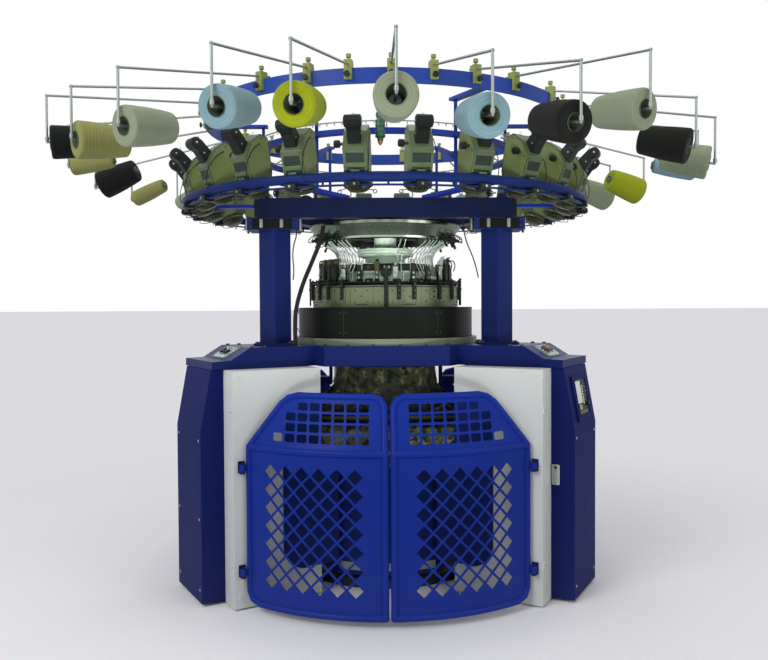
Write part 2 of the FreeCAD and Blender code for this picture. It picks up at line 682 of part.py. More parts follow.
def yarn_guide_ring():
    """A thin wire ring on six short wires that stand on the guide band."""
    wire = Part.makeTorus(EYE_RING_R, EYE_WIRE_R, V(0, 0, EYE_RING_Z))
    foot = GUIDE_BAND_Z + GUIDE_BAND_H
    start_r = GUIDE_BAND[1] - 6
    legs = []
    for azimuth in range(30, 360, 60):
        legs.append(rod(at(start_r, azimuth, foot), at(start_r, azimuth, EYE_RING_Z), EYE_WIRE_R))
        legs.append(rod(at(start_r, azimuth, EYE_RING_Z), at(EYE_RING_R, azimuth, EYE_RING_Z), EYE_WIRE_R))
        legs.append(Part.makeSphere(EYE_WIRE_R, at(start_r, azimuth, EYE_RING_Z)))
    return fuse(wire, *legs)


def creel_ring():
    """The flat band that carries the creel arms, on bars that rest on the posts."""
    band = ring(CREEL_R - CREEL_BAND / 2, CREEL_R + CREEL_BAND / 2, CREEL_BOTTOM, CREEL_TOP)
    bar = box(POST_R - 20, CREEL_R - CREEL_BAND / 2 + 1, -18, 18, CREEL_BOTTOM + 22, CREEL_BOTTOM + 34)
    return fuse(band, *[turned(bar, azimuth) for azimuth in SPOKE_AZIMUTHS])


# ---- creel --------------------------------------------------------------------------
class CreelArm:
    """Where one arm, its spindle and its cone lie."""

    def __init__(self, place, swing, rise, length, tilt, colour, cone):
        self.azimuth = place - 90
        self.colour = colour
        self.cone = cone
        self.pivot = at(CREEL_R, self.azimuth, ARM_Z)
        level = at(1, self.azimuth + swing)
        climb = math.radians(rise)
        self.way = V(level.x * math.cos(climb), level.y * math.cos(climb), math.sin(climb))
        self.corner = self.pivot + self.way * length
        self.seat = self.corner - V(0, 0, ARM_DROP)
        inward = V(-self.corner.x, -self.corner.y, 0).normalize()
        lift = math.radians(tilt)
        self.spindle = V(inward.x * math.cos(lift), inward.y * math.cos(lift), math.sin(lift))
        reach = (cone[0] * math.sin(lift) + ARM_ROD_R + 4) / math.cos(lift)
        self.cone_start = self.seat + self.spindle * reach

    def rod_solid(self):
        """The bent rod with the tapered plug that holds the cone."""
        start = self.pivot - self.way * ARM_TAIL
        pieces = [rod(start, self.corner, ARM_ROD_R), rod(self.corner, self.seat, ARM_ROD_R),
                  rod(self.seat, self.cone_start + self.spindle * (CONE_LENGTH + 8), ARM_ROD_R),
                  Part.makeSphere(ARM_ROD_R, self.corner), Part.makeSphere(ARM_ROD_R, self.seat)]
        share = 0.55
        wide = CONE_BORE[0] + (CONE_BORE[1] - CONE_BORE[0]) * share - SEAT_GAP
        narrow = CONE_BORE[1] - SEAT_GAP
        pieces.append(Part.makeCone(wide, narrow, CONE_LENGTH * (1 - share),
                                    self.cone_start + self.spindle * (CONE_LENGTH * share), self.spindle))
        return fuse(*pieces)

    def clamp_solid(self):
        """A block over the creel band, bored for the rod, with its thumb screw on top."""
        block = box(CREEL_R - 17, CREEL_R + 17, -14, 14, CREEL_BOTTOM + 14, ARM_Z + 14)
        half = CREEL_BAND / 2 + SEAT_GAP
        slot = ring(CREEL_R - half, CREEL_R + half, CREEL_BOTTOM - 1, CREEL_TOP + SEAT_GAP)
        screw = fuse(Part.makeCylinder(4, 14, V(CREEL_R, 0, ARM_Z + 13)),
                     Part.makeCylinder(9, 12, V(CREEL_R, 0, ARM_Z + 24)))
        block = turned(fuse(block, screw).cut(slot), self.azimuth)
        bore = rod(self.pivot - self.way * 60, self.pivot + self.way * 60, ARM_ROD_R + SEAT_GAP / 2)
        return block.cut(bore)

    def cone_solid(self):
        base_r, nose_r = self.cone
        body = Part.makeCone(base_r, nose_r, CONE_LENGTH, self.cone_start, self.spindle)
        bore = Part.makeCone(CONE_BORE[0], CONE_BORE[1], CONE_LENGTH, self.cone_start, self.spindle)
        return body.cut(bore)


# ---- knitting head ------------------------------------------------------------------
def shaft_distance():
    return GEAR_MODULE * (GEAR_TEETH + PINION_TEETH) / 2


def ring_gear():
    gear = spur(GEAR_TEETH, GEAR_H, CYLINDER_R - CYLINDER_WALL)
    gear.translate(V(0, 0, GEAR_Z))
    return gear


def needle_cylinder():
    """The needle cylinder with its needle slots, over the gear, and its neck through the bed."""
    inner = CYLINDER_R - CYLINDER_WALL
    body = ring(inner, CYLINDER_R, GEAR_Z + GEAR_H, CYLINDER_TOP)
    slots = []
    for index in range(72):
        slot = box(CYLINDER_R - 4, CYLINDER_R + 1, -1.5, 1.5, CAM_TOP - 3, CYLINDER_TOP + 1)
        slots.append(turned(slot, 5 * index))
    return body.cut(Part.makeCompound(slots))


def gear_neck():
    """The sleeve under the gear that carries the take-down frame through the bed."""
    inner = CYLINDER_R - CYLINDER_WALL
    return ring(inner - 12, inner, NECK_BOTTOM, GEAR_Z + GEAR_H)


def band_cover():
    """The dark drum round the gear, with the seat of the cam ring in its lid."""
    wall = ring(BAND_R - BAND_WALL, BAND_R, BAND_BOTTOM, BAND_TOP)
    lid = ring(CAM_RING_IN, BAND_R - 1, BAND_TOP - 10, BAND_TOP)
    return fuse(wall, lid)


def guide_plate():
    """The plate ring on the cam ring, with its yarn guide posts."""
    plate = ring(CAM_RING_IN + 3, GUIDE_PLATE_R, CAM_TOP, CAM_TOP + 15)
    posts = []
    for index in range(24):
        post = box(276, 290, -5, 5, CAM_TOP + 14, CAM_TOP + 62)
        foot = box(272, GUIDE_PLATE_R + 2, -9, 9, CAM_TOP + 14, CAM_TOP + 26)
        posts.append(turned(fuse(post, foot), 15 * index + 7.5))
    return fuse(plate, *posts)


def dial_cam_cap():
    """The still centre of the head: shaft, cam cap and neck, hung from the top frame."""
    outline = ((0, 1225), (42, 1225), (42, DIAL_Z - SEAT_GAP), (SHAFT_R, DIAL_Z - SEAT_GAP),
               (SHAFT_R, DIAL_Z + 9), (184, DIAL_Z + 9), (184, 1286), (207, 1288), (207, 1322), (96, 1324),
               (90, 1330), (90, 1353), (124, 1362), (124, 1391), (62, 1400), (50, 1408), (50, DISC_Z - SEAT_GAP),
               (SHAFT_R, DISC_Z - SEAT_GAP), (SHAFT_R, FRAME_BOTTOM + 72), (0, FRAME_BOTTOM + 72))
    return revolved(outline)


def dial():
    """The dial disc that turns with the needle cylinder, on the centre shaft."""
    return ring(SHAFT_R + RUN_GAP, DIAL_R, DIAL_Z, DIAL_Z + 8)


def top_disc():
    """The yarn disc under the top frame, with the skirt that holds the yarn tubes."""
    plate = ring(SHAFT_R + SEAT_GAP, DISC_R, DISC_Z, DISC_Z + DISC_H)
    boss = ring(SHAFT_R + SEAT_GAP, 70, DISC_Z + DISC_H - 1, FRAME_BOTTOM)
    skirt = ring(286, 294, DISC_Z - 52, DISC_Z + 1)
    foot_ring = ring(286, 302, DISC_Z - 56, DISC_Z - 50)
    return fuse(plate, boss, skirt, foot_ring)


# ---- take-down ----------------------------------------------------------------------
def takedown_frame():
    """The turning frame: hub ring, two arms with side plates, foot bearing pin and curved guards."""
    inner = CYLINDER_R - CYLINDER_WALL
    low = 84
    top = CARRIER_Z + CARRIER_H
    pieces = [ring(inner - 12, inner + 16, NECK_BOTTOM - 12, NECK_BOTTOM)]
    for side in (0, 180):
        plate = box(ROTOR_HALF, ROTOR_HALF + 12, -150, 150, low, top)
        plate = round_edges_along(plate, V(1, 0, 0), 30)
        for height, radius in ((ROLL_Z, 14), (ROLLER_Z, 12)):
            places = (0,) if height == ROLL_Z else (-ROLLER_R - 0.5, ROLLER_R + 0.5)
            for place in places:
                bore = Part.makeCylinder(radius + RUN_GAP, 20, V(ROTOR_HALF - 4, place, height), V(1, 0, 0))
                plate = plate.cut(bore)
        hanger = box(inner + 5, inner + 16, -40, 40, CARRIER_Z, NECK_BOTTOM - 6)
        arm = box(inner + 5, ROTOR_HALF + 1, -40, 40, CARRIER_Z, top)
        pieces += [turned(plate, side), turned(hanger, side), turned(arm, side)]
    pieces.append(box(-ROTOR_HALF - 12, ROTOR_HALF + 12, -60, 60, low, low + 14))
    pieces.append(Part.makeCylinder(20, 50, V(0, 0, 35)))
    pieces.append(Part.makeCylinder(60, low - 70 - SEAT_GAP + 1, V(0, 0, 70 + SEAT_GAP)))
    outline = ((-300, 170), (-210, 62), (210, 62), (300, 170), (300, 500), (-300, 500))
    for azimuth in (90, 270):
        guard = ring(ROTOR_R - 4, ROTOR_R, 61, 501)
        guard = guard.common(upright(outline, 0, ROTOR_R + 5))
        stay = box(-14, 14, 56, ROTOR_R - 3, low, low + 14)
        pieces += [turned(guard, azimuth - 90), turned(stay, azimuth - 90)]
    return fuse(*pieces)


def level_roller(y, z, radius, journal, half):
    """A roller along X with a journal at each end."""
    barrel = Part.makeCylinder(radius, 2 * half, V(-half, y, z), V(1, 0, 0))
    axle = Part.makeCylinder(journal, 2 * ROTOR_HALF + 30, V(-ROTOR_HALF - 15, y, z), V(1, 0, 0))
    return fuse(barrel, axle)


def oval(half_x, half_y, z):
    """A closed wire of four quarters of an ellipse or a circle."""
    quarter = math.pi / 2
    if half_x > half_y:
        whole = Part.Ellipse(V(0, 0, z), half_x, half_y)
        return Part.Wire([Part.ArcOfEllipse(whole, k * quarter, (k + 1) * quarter).toShape() for k in range(4)])
    whole = Part.Circle(V(0, 0, z), UP, half_x)
    return Part.Wire([Part.ArcOfCircle(whole, k * quarter, (k + 1) * quarter).toShape() for k in range(4)])


def fabric_tube():
    """The knitted tube between the cylinder and the nip of the take-down rollers."""
    levels = ((FABRIC_TOP, FABRIC_R, FABRIC_R), (NECK_BOTTOM - 18, FABRIC_R, FABRIC_R),
              (CARRIER_Z, FABRIC_R + 10, 190),
              (ROLLER_Z + ROLLER_R + 12, FABRIC_FLAT, 12), (ROLLER_Z + 12.7, FABRIC_FLAT, 3))
    sections = [oval(x, y, z) for z, x, y in levels]
    return Part.makeLoft(sections, True, True)


# ---- drive --------------------------------------------------------------------------
def pinion_shaft():
    """The upright drive shaft with its pinion and belt pulley."""
    pinion = spur(PINION_TEETH, GEAR_H - 4, 10, 180 / PINION_TEETH)
    pinion.translate(V(0, 0, GEAR_Z + 2))
    shaft = Part.makeCylinder(16, GEAR_Z + GEAR_H - PULLEY_Z - 2, V(0, 0, PULLEY_Z))
    pulley = ring(10, SHAFT_PULLEY_R, PULLEY_Z, PULLEY_Z + PULLEY_H)
    whole = fuse(pinion, shaft, pulley)
    whole.translate(V(0, shaft_distance(), 0))
    return whole


def motor_pulley():
    pulley = ring(14 + RUN_GAP, MOTOR_PULLEY_R, PULLEY_Z, PULLEY_Z + PULLEY_H)
    pulley.translate(V(0, MOTOR_PLACE, 0))
    return pulley


def drive_motor():
    """The motor, its finned body hung from a bracket on the rear leg."""
    body = ring(0, MOTOR_R, 520, 800)
    fins = [turned(box(MOTOR_R - 2, MOTOR_R + 8, -2, 2, 540, 780), 15 * index) for index in range(24)]
    cap = ring(0, MOTOR_R - 6, 500, 520)
    top = 812
    flange = box(-LEG_HALF + LEG_WALL, LEG_HALF - LEG_WALL, -MOTOR_R - 12, MOTOR_R + 12, top - 12, top)
    shaft = Part.makeCylinder(14, PULLEY_Z + PULLEY_H - top + 2, V(0, 0, top - 2))
    shoulder = Part.makeCylinder(24, PULLEY_Z - SEAT_GAP - top, V(0, 0, top))
    whole = fuse(body, cap, flange, shaft, shoulder, *fins)
    whole.translate(V(0, MOTOR_PLACE, 0))
    return whole


def drive_belt():
    """The toothless belt round the two pulleys, a hair clear of both."""
    def loop(extra):
        big = SHAFT_PULLEY_R + SEAT_GAP + extra
        small = MOTOR_PULLEY_R + SEAT_GAP + extra
        span = MOTOR_PLACE - shaft_distance()
        lean = math.asin((big - small) / span)
        z0 = PULLEY_Z + 3
        low = V(0, shaft_distance(), z0)
        high = V(0, MOTOR_PLACE, z0)
        side = V(math.cos(lean), math.sin(lean), 0)
        other = V(-math.cos(lean), math.sin(lean), 0)
        p = (low + side * big, high + side * small, high + other * small, low + other * big)
        edges = [Part.LineSegment(p[0], p[1]), Part.Arc(p[1], high + V(0, small, 0), p[2]),
                 Part.LineSegment(p[2], p[3]), Part.Arc(p[3], low - V(0, big, 0), p[0])]
        return Part.Face(Part.Wire([edge.toShape() for edge in edges])).extrude(V(0, 0, PULLEY_H - 6))
    return loop(BELT_THICK).cut(loop(0))


# ---- cables -------------------------------------------------------------------------
CABLE_R = 9
WIRE_R = 2.5
CABLE_ROUTE = (V(-262, -232, DISC_Z - 2), V(-268, -238, 1420), V(-306, -262, 1330), V(-345, -290, 1230),
               V(-372, -322, 1130), V(-371, -350, 1050), V(-370, -352, BED_TOP + SEAT_GAP))
LEFT_WIRE = (V(-366, -300, FRAME_BOTTOM - COLUMN_PLATE[2] - SEAT_GAP), V(-368, -300, 1425),
             V(-382, -292, 1388), V(-386, -282, 1340), V(-381, -268, 1290), V(-386, -266, 1250))
RIGHT_WIRE = (V(318, -300, FRAME_BOTTOM - SEAT_GAP), V(318, -300, 1456), V(332, -290, 1400), V(356, -282, 1350),
              V(374, -272, 1300), V(384, -266, 1256))


def control_panel():
    """The terminal let into the leaning top of the cabinet door."""
    run = V(WING_END - COVER_END, 0, COVER_TOP - COVER_WAIST_Z)
    lean = math.degrees(math.atan2(-run.x, run.z))
    plate = box(0, 8, -95, 95, 22, 200)
    window = box(5, 9, -72, 72, 44, 182)
    whole = plate.cut(window)
    whole.rotate(V(0, 0, 0), V(0, 1, 0), -lean)
    whole.translate(V(COVER_END, 0, COVER_WAIST_Z))
    return turned(whole, LEG_AZIMUTHS[1])


LATCH_Z = 518
LATCH_X = SIDE_END + 20
DOOR_HINGE_X = SIDE_END + 7
DOOR_HINGE_T = LEG_HALF + 6
DOOR_HINGE_HEIGHTS = (130, 600)
DOOR_PIN_R = 3
DOOR_KNUCKLE_R = 5.5


def cabinet_latch():
    """The paddle latch on the cabinet's front side, turning on its short spindle."""
    face = -LEG_HALF - SEAT_GAP
    paddle = box(LATCH_X - 16, LATCH_X + 16, face - 8, face, LATCH_Z - 68, LATCH_Z + 11)
    paddle = round_edges_along(paddle, V(0, 1, 0), 6)
    spindle = Part.makeCylinder(7, 22, V(LATCH_X, face - 4, LATCH_Z), V(0, 1, 0))
    tongue = box(LATCH_X - 9, LATCH_X + 9, face + 14, face + 18, LATCH_Z - 34, LATCH_Z + 10)
    return turned(fuse(paddle, spindle, tongue), LEG_AZIMUTHS[1])


def door_leaf(height):
    """The door's half of a butt hinge: a leaf on its side wall and the middle knuckle."""
    middle = 8.7
    eye = Part.makeCylinder(DOOR_KNUCKLE_R, 2 * middle, V(DOOR_HINGE_X, DOOR_HINGE_T, height - middle))
    neck = box(DOOR_HINGE_X, DOOR_HINGE_X + 12, LEG_HALF - 1, LEG_HALF + 3, height - middle, height + middle)
    leaf = box(DOOR_HINGE_X + 8, DOOR_HINGE_X + 28, LEG_HALF - 1, LEG_HALF + 3, height - 25, height + 25)
    bore = Part.makeCylinder(DOOR_PIN_R + RUN_GAP, 2 * middle + 2, V(DOOR_HINGE_X, DOOR_HINGE_T, height - middle - 1))
    return fuse(eye, neck, leaf).cut(bore)


def door_hinge(height):
    """The standing half: a leaf on the side cover's end, two knuckles and the pin."""
    place = V(DOOR_HINGE_X, DOOR_HINGE_T, height - 25)
    low = Part.makeCylinder(DOOR_KNUCKLE_R, 16, place)
    high = Part.makeCylinder(DOOR_KNUCKLE_R, 16, place + V(0, 0, 34))
    pin = Part.makeCylinder(DOOR_PIN_R, 54, place - V(0, 0, 2))
    leaf = box(SIDE_END, SIDE_END + 3, DOOR_HINGE_T, DOOR_HINGE_T + 32, height - 25, height + 25)
    slot = box(SIDE_END - 1, SIDE_END + 4, DOOR_HINGE_T - 1, DOOR_HINGE_T + 7, height - 9, height + 9)
    return turned(fuse(low, high, pin, leaf.cut(slot)), LEG_AZIMUTHS[1])


def cabinet_door():
    """The right leg's cover: a door hinged at its rear edge, with a hole for its latch."""
    door = leg_cover()
    hole = Part.makeCylinder(7 + RUN_GAP, 20, V(LATCH_X, -LEG_HALF - 10, LATCH_Z), V(0, 1, 0))
    door = door.cut(hole)
    for height in DOOR_HINGE_HEIGHTS:
        door = door.fuse(door_leaf(height))
    return turned(door, LEG_AZIMUTHS[1])


def signal_lamp():
    """The warning lamp that hangs from the creel band at the front."""
    top = at(CREEL_R, LAMP_AZIMUTH)
    profile = ((0, 1700), (7, 1712), (11, 1716), (11, 1724), (17, 1726), (17, 1750), (12, 1752), (12, 1760),
               (17, 1762), (17, 1786), (12, 1788), (12, 1794), (15, 1796), (15, 1812), (4, 1814),
               (4, CREEL_BOTTOM), (0, CREEL_BOTTOM))
    lamp = revolved(profile)
    lamp.translate(top)
    return lamp


# ---- write the nodes ----------------------------------------------------------------
save("base_plate", base_plate())
for name, azimuth in zip(("leg_left", "leg_right", "leg_rear"), LEG_AZIMUTHS):
    save(name, turned(leg(name == "leg_rear"), azimuth))
save("leg_covers", turned(leg_cover(), LEG_AZIMUTHS[0]), turned(leg_cover(), LEG_AZIMUTHS[2]))
save("cabinet_door", cabinet_door())
save("control_panel", control_panel())
save("cabinet_latch", cabinet_latch())
save("levelling_feet", *[turned(Part.makeCylinder(FOOT_R, FOOT_H, V(x, 0, 0)), azimuth)
                         for azimuth in LEG_AZIMUTHS for x in (LEG_INNER + 70, LEG_SPLIT - 70)])
save("side_covers", *[turned(side_cover(side), azimuth) for azimuth in LEG_AZIMUTHS for side in (1, -1)])
save("gate_hinges", *[turned(hinge_bracket(side, height), azimuth)
                      for azimuth in LEG_AZIMUTHS for side in (1, -1) for height in HINGE_HEIGHTS],
     *[door_hinge(height) for height in DOOR_HINGE_HEIGHTS])

right_gate = gate()
left_gate = flipped(right_gate)
for bay, turn in zip(("front", "right", "left"), BAY_TURNS):
    save("gate_" + bay + "_a", turned(left_gate, turn))
    save("gate_" + bay + "_b", turned(right_gate, turn))

save("bed_plate", bed())
save("switch_panels", *[switch_panel(azimuth) for azimuth in LEG_AZIMUTHS[:2]])
save("start_button", button(LEG_AZIMUTHS[0], -1, 11, 5))
save("stop_button", button(LEG_AZIMUTHS[0], 1, 11, 5))
save("inch_button", button(LEG_AZIMUTHS[1], 1, 11, 5))
save("emergency_button", button(LEG_AZIMUTHS[1], -1, 18, 12))

save("columns", *[column(azimuth) for azimuth in LEG_AZIMUTHS])
save("top_frame", top_frame())
save("ring_spokes", *spokes())
save("feeder_ring", feeder_ring())
feeder_azimuths = [7.5 + 360 * index / FEEDERS for index in range(FEEDERS)]
save("feeder_housings", *[feeder_housing(azimuth) for azimuth in feeder_azimuths])
save("feeder_tensioners", *[feeder_head(azimuth) for azimuth in feeder_azimuths])
save("feeder_drums", *[feeder_drum(azimuth) for azimuth in feeder_azimuths])
save("guide_cage", guide_cage())
save("yarn_guide_ring", yarn_guide_ring())
save("creel_ring", creel_ring())

arms = [CreelArm(*row) for row in CREEL]
save("creel_clamps", *[arm.clamp_solid() for arm in arms])
save("creel_arms", *[arm.rod_solid() for arm in arms])
for colour in sorted({arm.colour for arm in arms}):
    save("cones_" + colour, *[arm.cone_solid() for arm in arms if arm.colour == colour])
save("signal_lamp", signal_lamp())

save("needle_cylinder", needle_cylinder())
save("ring_gear", fuse(ring_gear(), gear_neck()))
save("dial", dial())
save("dial_cam_cap", dial_cam_cap())
save("cam_ring", ring(CAM_RING_IN, CAM_RING_R, BAND_TOP, CAM_TOP))
save("guide_plate", guide_plate())
save("top_disc", top_disc())
save("band_cover", band_cover())
save("gear_housing", ring(BAND_R - BAND_WALL, SEAT_RING_R, BED_TOP, BAND_BOTTOM))
save("fabric_tube", fabric_tube())
save("takedown_frame", takedown_frame())
roller_half = ROTOR_HALF - 3
save("front_roller", level_roller(-ROLLER_R - 0.5, ROLLER_Z, ROLLER_R, 12, roller_half))
save("rear_roller", level_roller(ROLLER_R + 0.5, ROLLER_Z, ROLLER_R, 12, roller_half))
save("cloth_roll", level_roller(0, ROLL_Z, ROLL_R, 14, roller_half - 10))
save("drive_motor", drive_motor())
save("motor_pulley", motor_pulley())
save("pinion_shaft", pinion_shaft())
save("drive_belt", drive_belt())
save("cables", bent_tube(CABLE_ROUTE, CABLE_R), bent_tube(LEFT_WIRE, WIRE_R), bent_tube(RIGHT_WIRE, WIRE_R))
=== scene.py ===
import math

import bpy
from mathutils import Matrix, Vector


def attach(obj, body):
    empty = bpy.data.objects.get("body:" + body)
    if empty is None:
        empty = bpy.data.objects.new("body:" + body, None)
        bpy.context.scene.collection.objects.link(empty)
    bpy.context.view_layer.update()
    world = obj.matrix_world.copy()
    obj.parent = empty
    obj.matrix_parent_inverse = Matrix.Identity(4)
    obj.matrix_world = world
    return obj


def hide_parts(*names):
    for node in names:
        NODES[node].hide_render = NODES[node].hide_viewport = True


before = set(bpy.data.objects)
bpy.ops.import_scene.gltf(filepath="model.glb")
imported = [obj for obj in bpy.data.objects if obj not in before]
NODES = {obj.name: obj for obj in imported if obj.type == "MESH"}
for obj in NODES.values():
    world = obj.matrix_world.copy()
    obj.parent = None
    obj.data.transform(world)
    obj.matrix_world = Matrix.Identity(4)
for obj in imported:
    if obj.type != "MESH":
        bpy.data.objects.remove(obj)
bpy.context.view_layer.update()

LEFT_LEG, RIGHT_LEG, REAR_LEG = LEGS = (210, 330, 90)
FULL_TURN = 2 * math.pi


# ---- geometry -----------------------------------------------------------------------
def turn(degrees):
    return Matrix.Rotation(math.radians(degrees), 4, "Z")


def tip(degrees, axis):
    return Matrix.Rotation(math.radians(degrees), 4, axis)


def place(x, y, z):
    return Matrix.Translation(Vector((x, y, z)))


def at(radius, azimuth, z=0.0):
    a = math.radians(azimuth)
    return Vector((radius * math.cos(a), radius * math.sin(a), z))


def along(direction):
    """A turn that brings +Z onto the direction."""
    return Vector(direction).normalized().to_track_quat("Z", "Y").to_matrix().to_4x4()


def moved(matrix, points):
    return [matrix @ Vector(p) for p in points]


def around(count):
    """Angles in radians, evenly round a full turn."""
    return [FULL_TURN * k / count for k in range(count)]


def smooth_line(points, count=24):
    """Points on a smooth curve through the given ones."""
    p = [Vector(q) for q in points]
    p = [p[0] * 2 - p[1]] + p + [p[-1] * 2 - p[-2]]
    steps = max(2, count // (len(p) - 3))
    out = []
    for i in range(1, len(p) - 2):
        a, b, c, d = p[i - 1:i + 3]
        for k in range(steps):
            t = k / steps
            square = 2 * a - 5 * b + 4 * c - d
            cube = 3 * b - 3 * c + d - a
            out.append(0.5 * ((2 * b) + (c - a) * t + square * t * t + cube * t ** 3))
    out.append(p[-2])
    return out


def in_scene(name, data):
    obj = bpy.data.objects.new(name, data)
    bpy.context.scene.collection.objects.link(obj)
    return obj


FACING_OUT = tip(90, "Y")
FACING_FRONT = tip(90, "X")


class Shape:
    """Collects faces in metres, with a material number and UVs for each."""

    def __init__(self):
        self.verts = []
        self.faces = []
        self.mats = []
        self.uvs = []

    def add(self, verts, faces, matrix=None, mat=0, uvs=None):
        base = len(self.verts)
        self.verts += moved(matrix, verts) if matrix is not None else [Vector(v) for v in verts]
        self.faces += [tuple(base + i for i in f) for f in faces]
        self.mats += [mat] * len(faces)
        self.uvs += uvs if uvs else [None] * len(faces)

    def revolve(self, profile, matrix=None, mat=0, steps=24, caps=True, uv=False):
        """Turns an outline of (radius, z) points round Z. A point on the axis joins its faces there."""
        verts, faces, uvs = [], [], []
        n = len(profile)
        for a in around(steps):
            verts += [(r * math.cos(a), r * math.sin(a), z) for r, z in profile]
        run = lengths_along(profile)
        on_axis = [r < 1e-7 for r, z in profile]
        for i in range(steps):
            for k in range(n - 1):
                corners = [(i, k), (i + 1, k), (i + 1, k + 1), (i, k + 1)]
                if on_axis[k] and on_axis[k + 1]:
                    continue
                if on_axis[k]:
                    corners.pop(1)
                elif on_axis[k + 1]:
                    corners.pop(2)
                faces.append(tuple((a % steps) * n + b for a, b in corners))
                uvs.append([(a / steps, run[b]) for a, b in corners])
        if caps and not on_axis[0]:
            faces.append(tuple(i * n for i in range(steps))[::-1])
            uvs.append([(0, 0)] * steps)
        if caps and not on_axis[-1]:
            faces.append(tuple(i * n + n - 1 for i in range(steps)))
            uvs.append([(0, run[-1])] * steps)
        self.add(verts, faces, matrix, mat, uvs if uv else None)

    def band(self, profile, mat=0, steps=96, matrix=None):
        """A ring of trim, open where it lies on what it trims."""
        self.revolve(profile, matrix, mat, steps, caps=False)

    def cylinder(self, start, end, radius, mat=0, steps=16, matrix=None, chamfer=0.0):
        start, end = Vector(start), Vector(end)
        length = (end - start).length
        m = Matrix.Translation(start) @ along(end - start)
        if matrix is not None:
            m = matrix @ m
        c = min(chamfer, radius * 0.5, length * 0.4)
        profile = [(radius, 0), (radius, length)]
        if c > 0:
            profile = [(radius - c, 0), (radius, c), (radius, length - c), (radius - c, length)]
        self.revolve(profile, m, mat, steps)

    def box(self, low, high, mat=0, matrix=None, chamfer=0.0):
        (x0, y0, z0), (x1, y1, z1) = low, high
        c = min(chamfer, (x1 - x0) * 0.3, (y1 - y0) * 0.3, (z1 - z0) * 0.3)
        if c <= 0:
            v = [(x, y, z) for x in (x0, x1) for y in (y0, y1) for z in (z0, z1)]
            f = [(0, 1, 3, 2), (4, 6, 7, 5), (0, 4, 5, 1), (2, 3, 7, 6), (0, 2, 6, 4), (1, 5, 7, 3)]
            self.add(v, f, matrix, mat)
            return
        rings = []
        for z, e in ((z0, c), (z0 + c, 0), (z1 - c, 0), (z1, c)):
            left, right, front, back = x0 + e, x1 - e, y0 + e, y1 - e
            rings.append([(left + c, front, z), (right - c, front, z),
                          (right, front + c, z), (right, back - c, z),
                          (right - c, back, z), (left + c, back, z),
                          (left, back - c, z), (left, front + c, z)])
        self.loft(rings, matrix, mat)

    def slab(self, xs, half, zs, mat=0, matrix=None, chamfer=0.0):
        """A box that reaches as far to both sides of Y = 0."""
        self.box((xs[0], -half, zs[0]), (xs[1], half, zs[1]), mat, matrix, chamfer)

    def loft(self, rings, matrix=None, mat=0, caps=True):
        n = len(rings[0])
        faces = []
        for k in range(len(rings) - 1):
            for i in range(n):
                j = (i + 1) % n
                faces.append((k * n + i, k * n + j, (k + 1) * n + j, (k + 1) * n + i))
        if caps:
            faces.append(tuple(range(n))[::-1])
            faces.append(tuple((len(rings) - 1) * n + i for i in range(n)))
        self.add([p for ring in rings for p in ring], faces, matrix, mat)

    def prism(self, outline, low, high, matrix=None, mat=0, chamfer=0.0):
        """A plate between two values of Y, with its outline in X and Z."""
        levels = [(low, 0), (high, 0)]
        if chamfer > 0:
            levels = [(low, chamfer), (low + chamfer, 0), (high - chamfer, 0), (high, chamfer)]
        area = sum(a[0] * b[1] - b[0] * a[1] for a, b in zip(outline, outline[1:] + outline[:1]))
        sign = 1 if area > 0 else -1
        n = len(outline)
        rings = []
        for depth, inset in levels:
            ring = []
            for i in range(n):
                p, q, r = (Vector(outline[(i + k) % n]) for k in (-1, 0, 1))
                e0, e1 = (q - p).normalized(), (r - q).normalized()
                n0, n1 = Vector((-e0.y, e0.x)) * sign, Vector((-e1.y, e1.x)) * sign
                inward = n0 + n1
                inward = inward / max(inward.dot(n0), 0.3)
                corner = q + inward * inset
                ring.append((corner[0], depth, corner[1]))
            rings.append(ring[::-1] if area > 0 else ring)
        self.loft(rings, matrix, mat)

    def tube(self, points, radius, mat=0, steps=8, matrix=None, closed=False):
        """A round tube along points that are close together."""
        pts = [Vector(p) for p in points]
        n = len(pts)
        rings = []
        normal = None
        for i, p in enumerate(pts):
            if closed:
                d = pts[(i + 1) % n] - pts[i - 1]
            else:
                d = pts[min(i + 1, n - 1)] - pts[max(i - 1, 0)]
            d.normalize()
            if normal is None:
                normal = d.orthogonal().normalized()
            normal = (normal - d * normal.dot(d)).normalized()
            side = d.cross(normal)
            rings.append([p + (normal * math.cos(a) + side * math.sin(a)) * radius for a in around(steps)])
        if closed:
            rings.append(rings[0])
        self.loft(rings, matrix, mat, caps=not closed)

    def ball(self, centre, radius, mat=0, steps=12, matrix=None):
        half = steps // 2
        angles = [math.pi * k / half for k in range(half + 1)]
        profile = [(radius * math.sin(a), -radius * math.cos(a)) for a in angles]
        profile[0] = (0, profile[0][1])
        profile[-1] = (0, profile[-1][1])
        m = Matrix.Translation(Vector(centre))
        self.revolve(profile, m if matrix is None else matrix @ m, mat, steps, caps=False)

    def seat(self, point, direction, matrix):
        """Where a screw sits: its foot at the point, standing along the direction."""
        m = Matrix.Translation(Vector(point)) @ along(direction)
        return m if matrix is None else matrix @ m

    def hexbolt(self, point, direction, size, mat=0, washer=True, matrix=None):
        """A hexagon head on a washer."""
        m = self.seat(point, direction, matrix)
        if washer:
            plate = [(size * 1.15, -0.0005), (size * 1.15, size * 0.16), (size * 0.6, size * 0.2)]
            self.revolve(plate, m, mat, 16)
        h = size * 0.75
        self.revolve([(size, size * 0.15), (size, h * 0.86), (size * 0.86, h)], m, mat, 6)

    def socketbolt(self, point, direction, size, mat=0, matrix=None):
        """A cap screw with a socket."""
        s = size
        head = [(s, -0.0005), (s, s * 0.85), (s * 0.88, s), (s * 0.52, s), (s * 0.45, s * 0.5), (0, s * 0.5)]
        self.revolve(head, self.seat(point, direction, matrix), mat, 14)

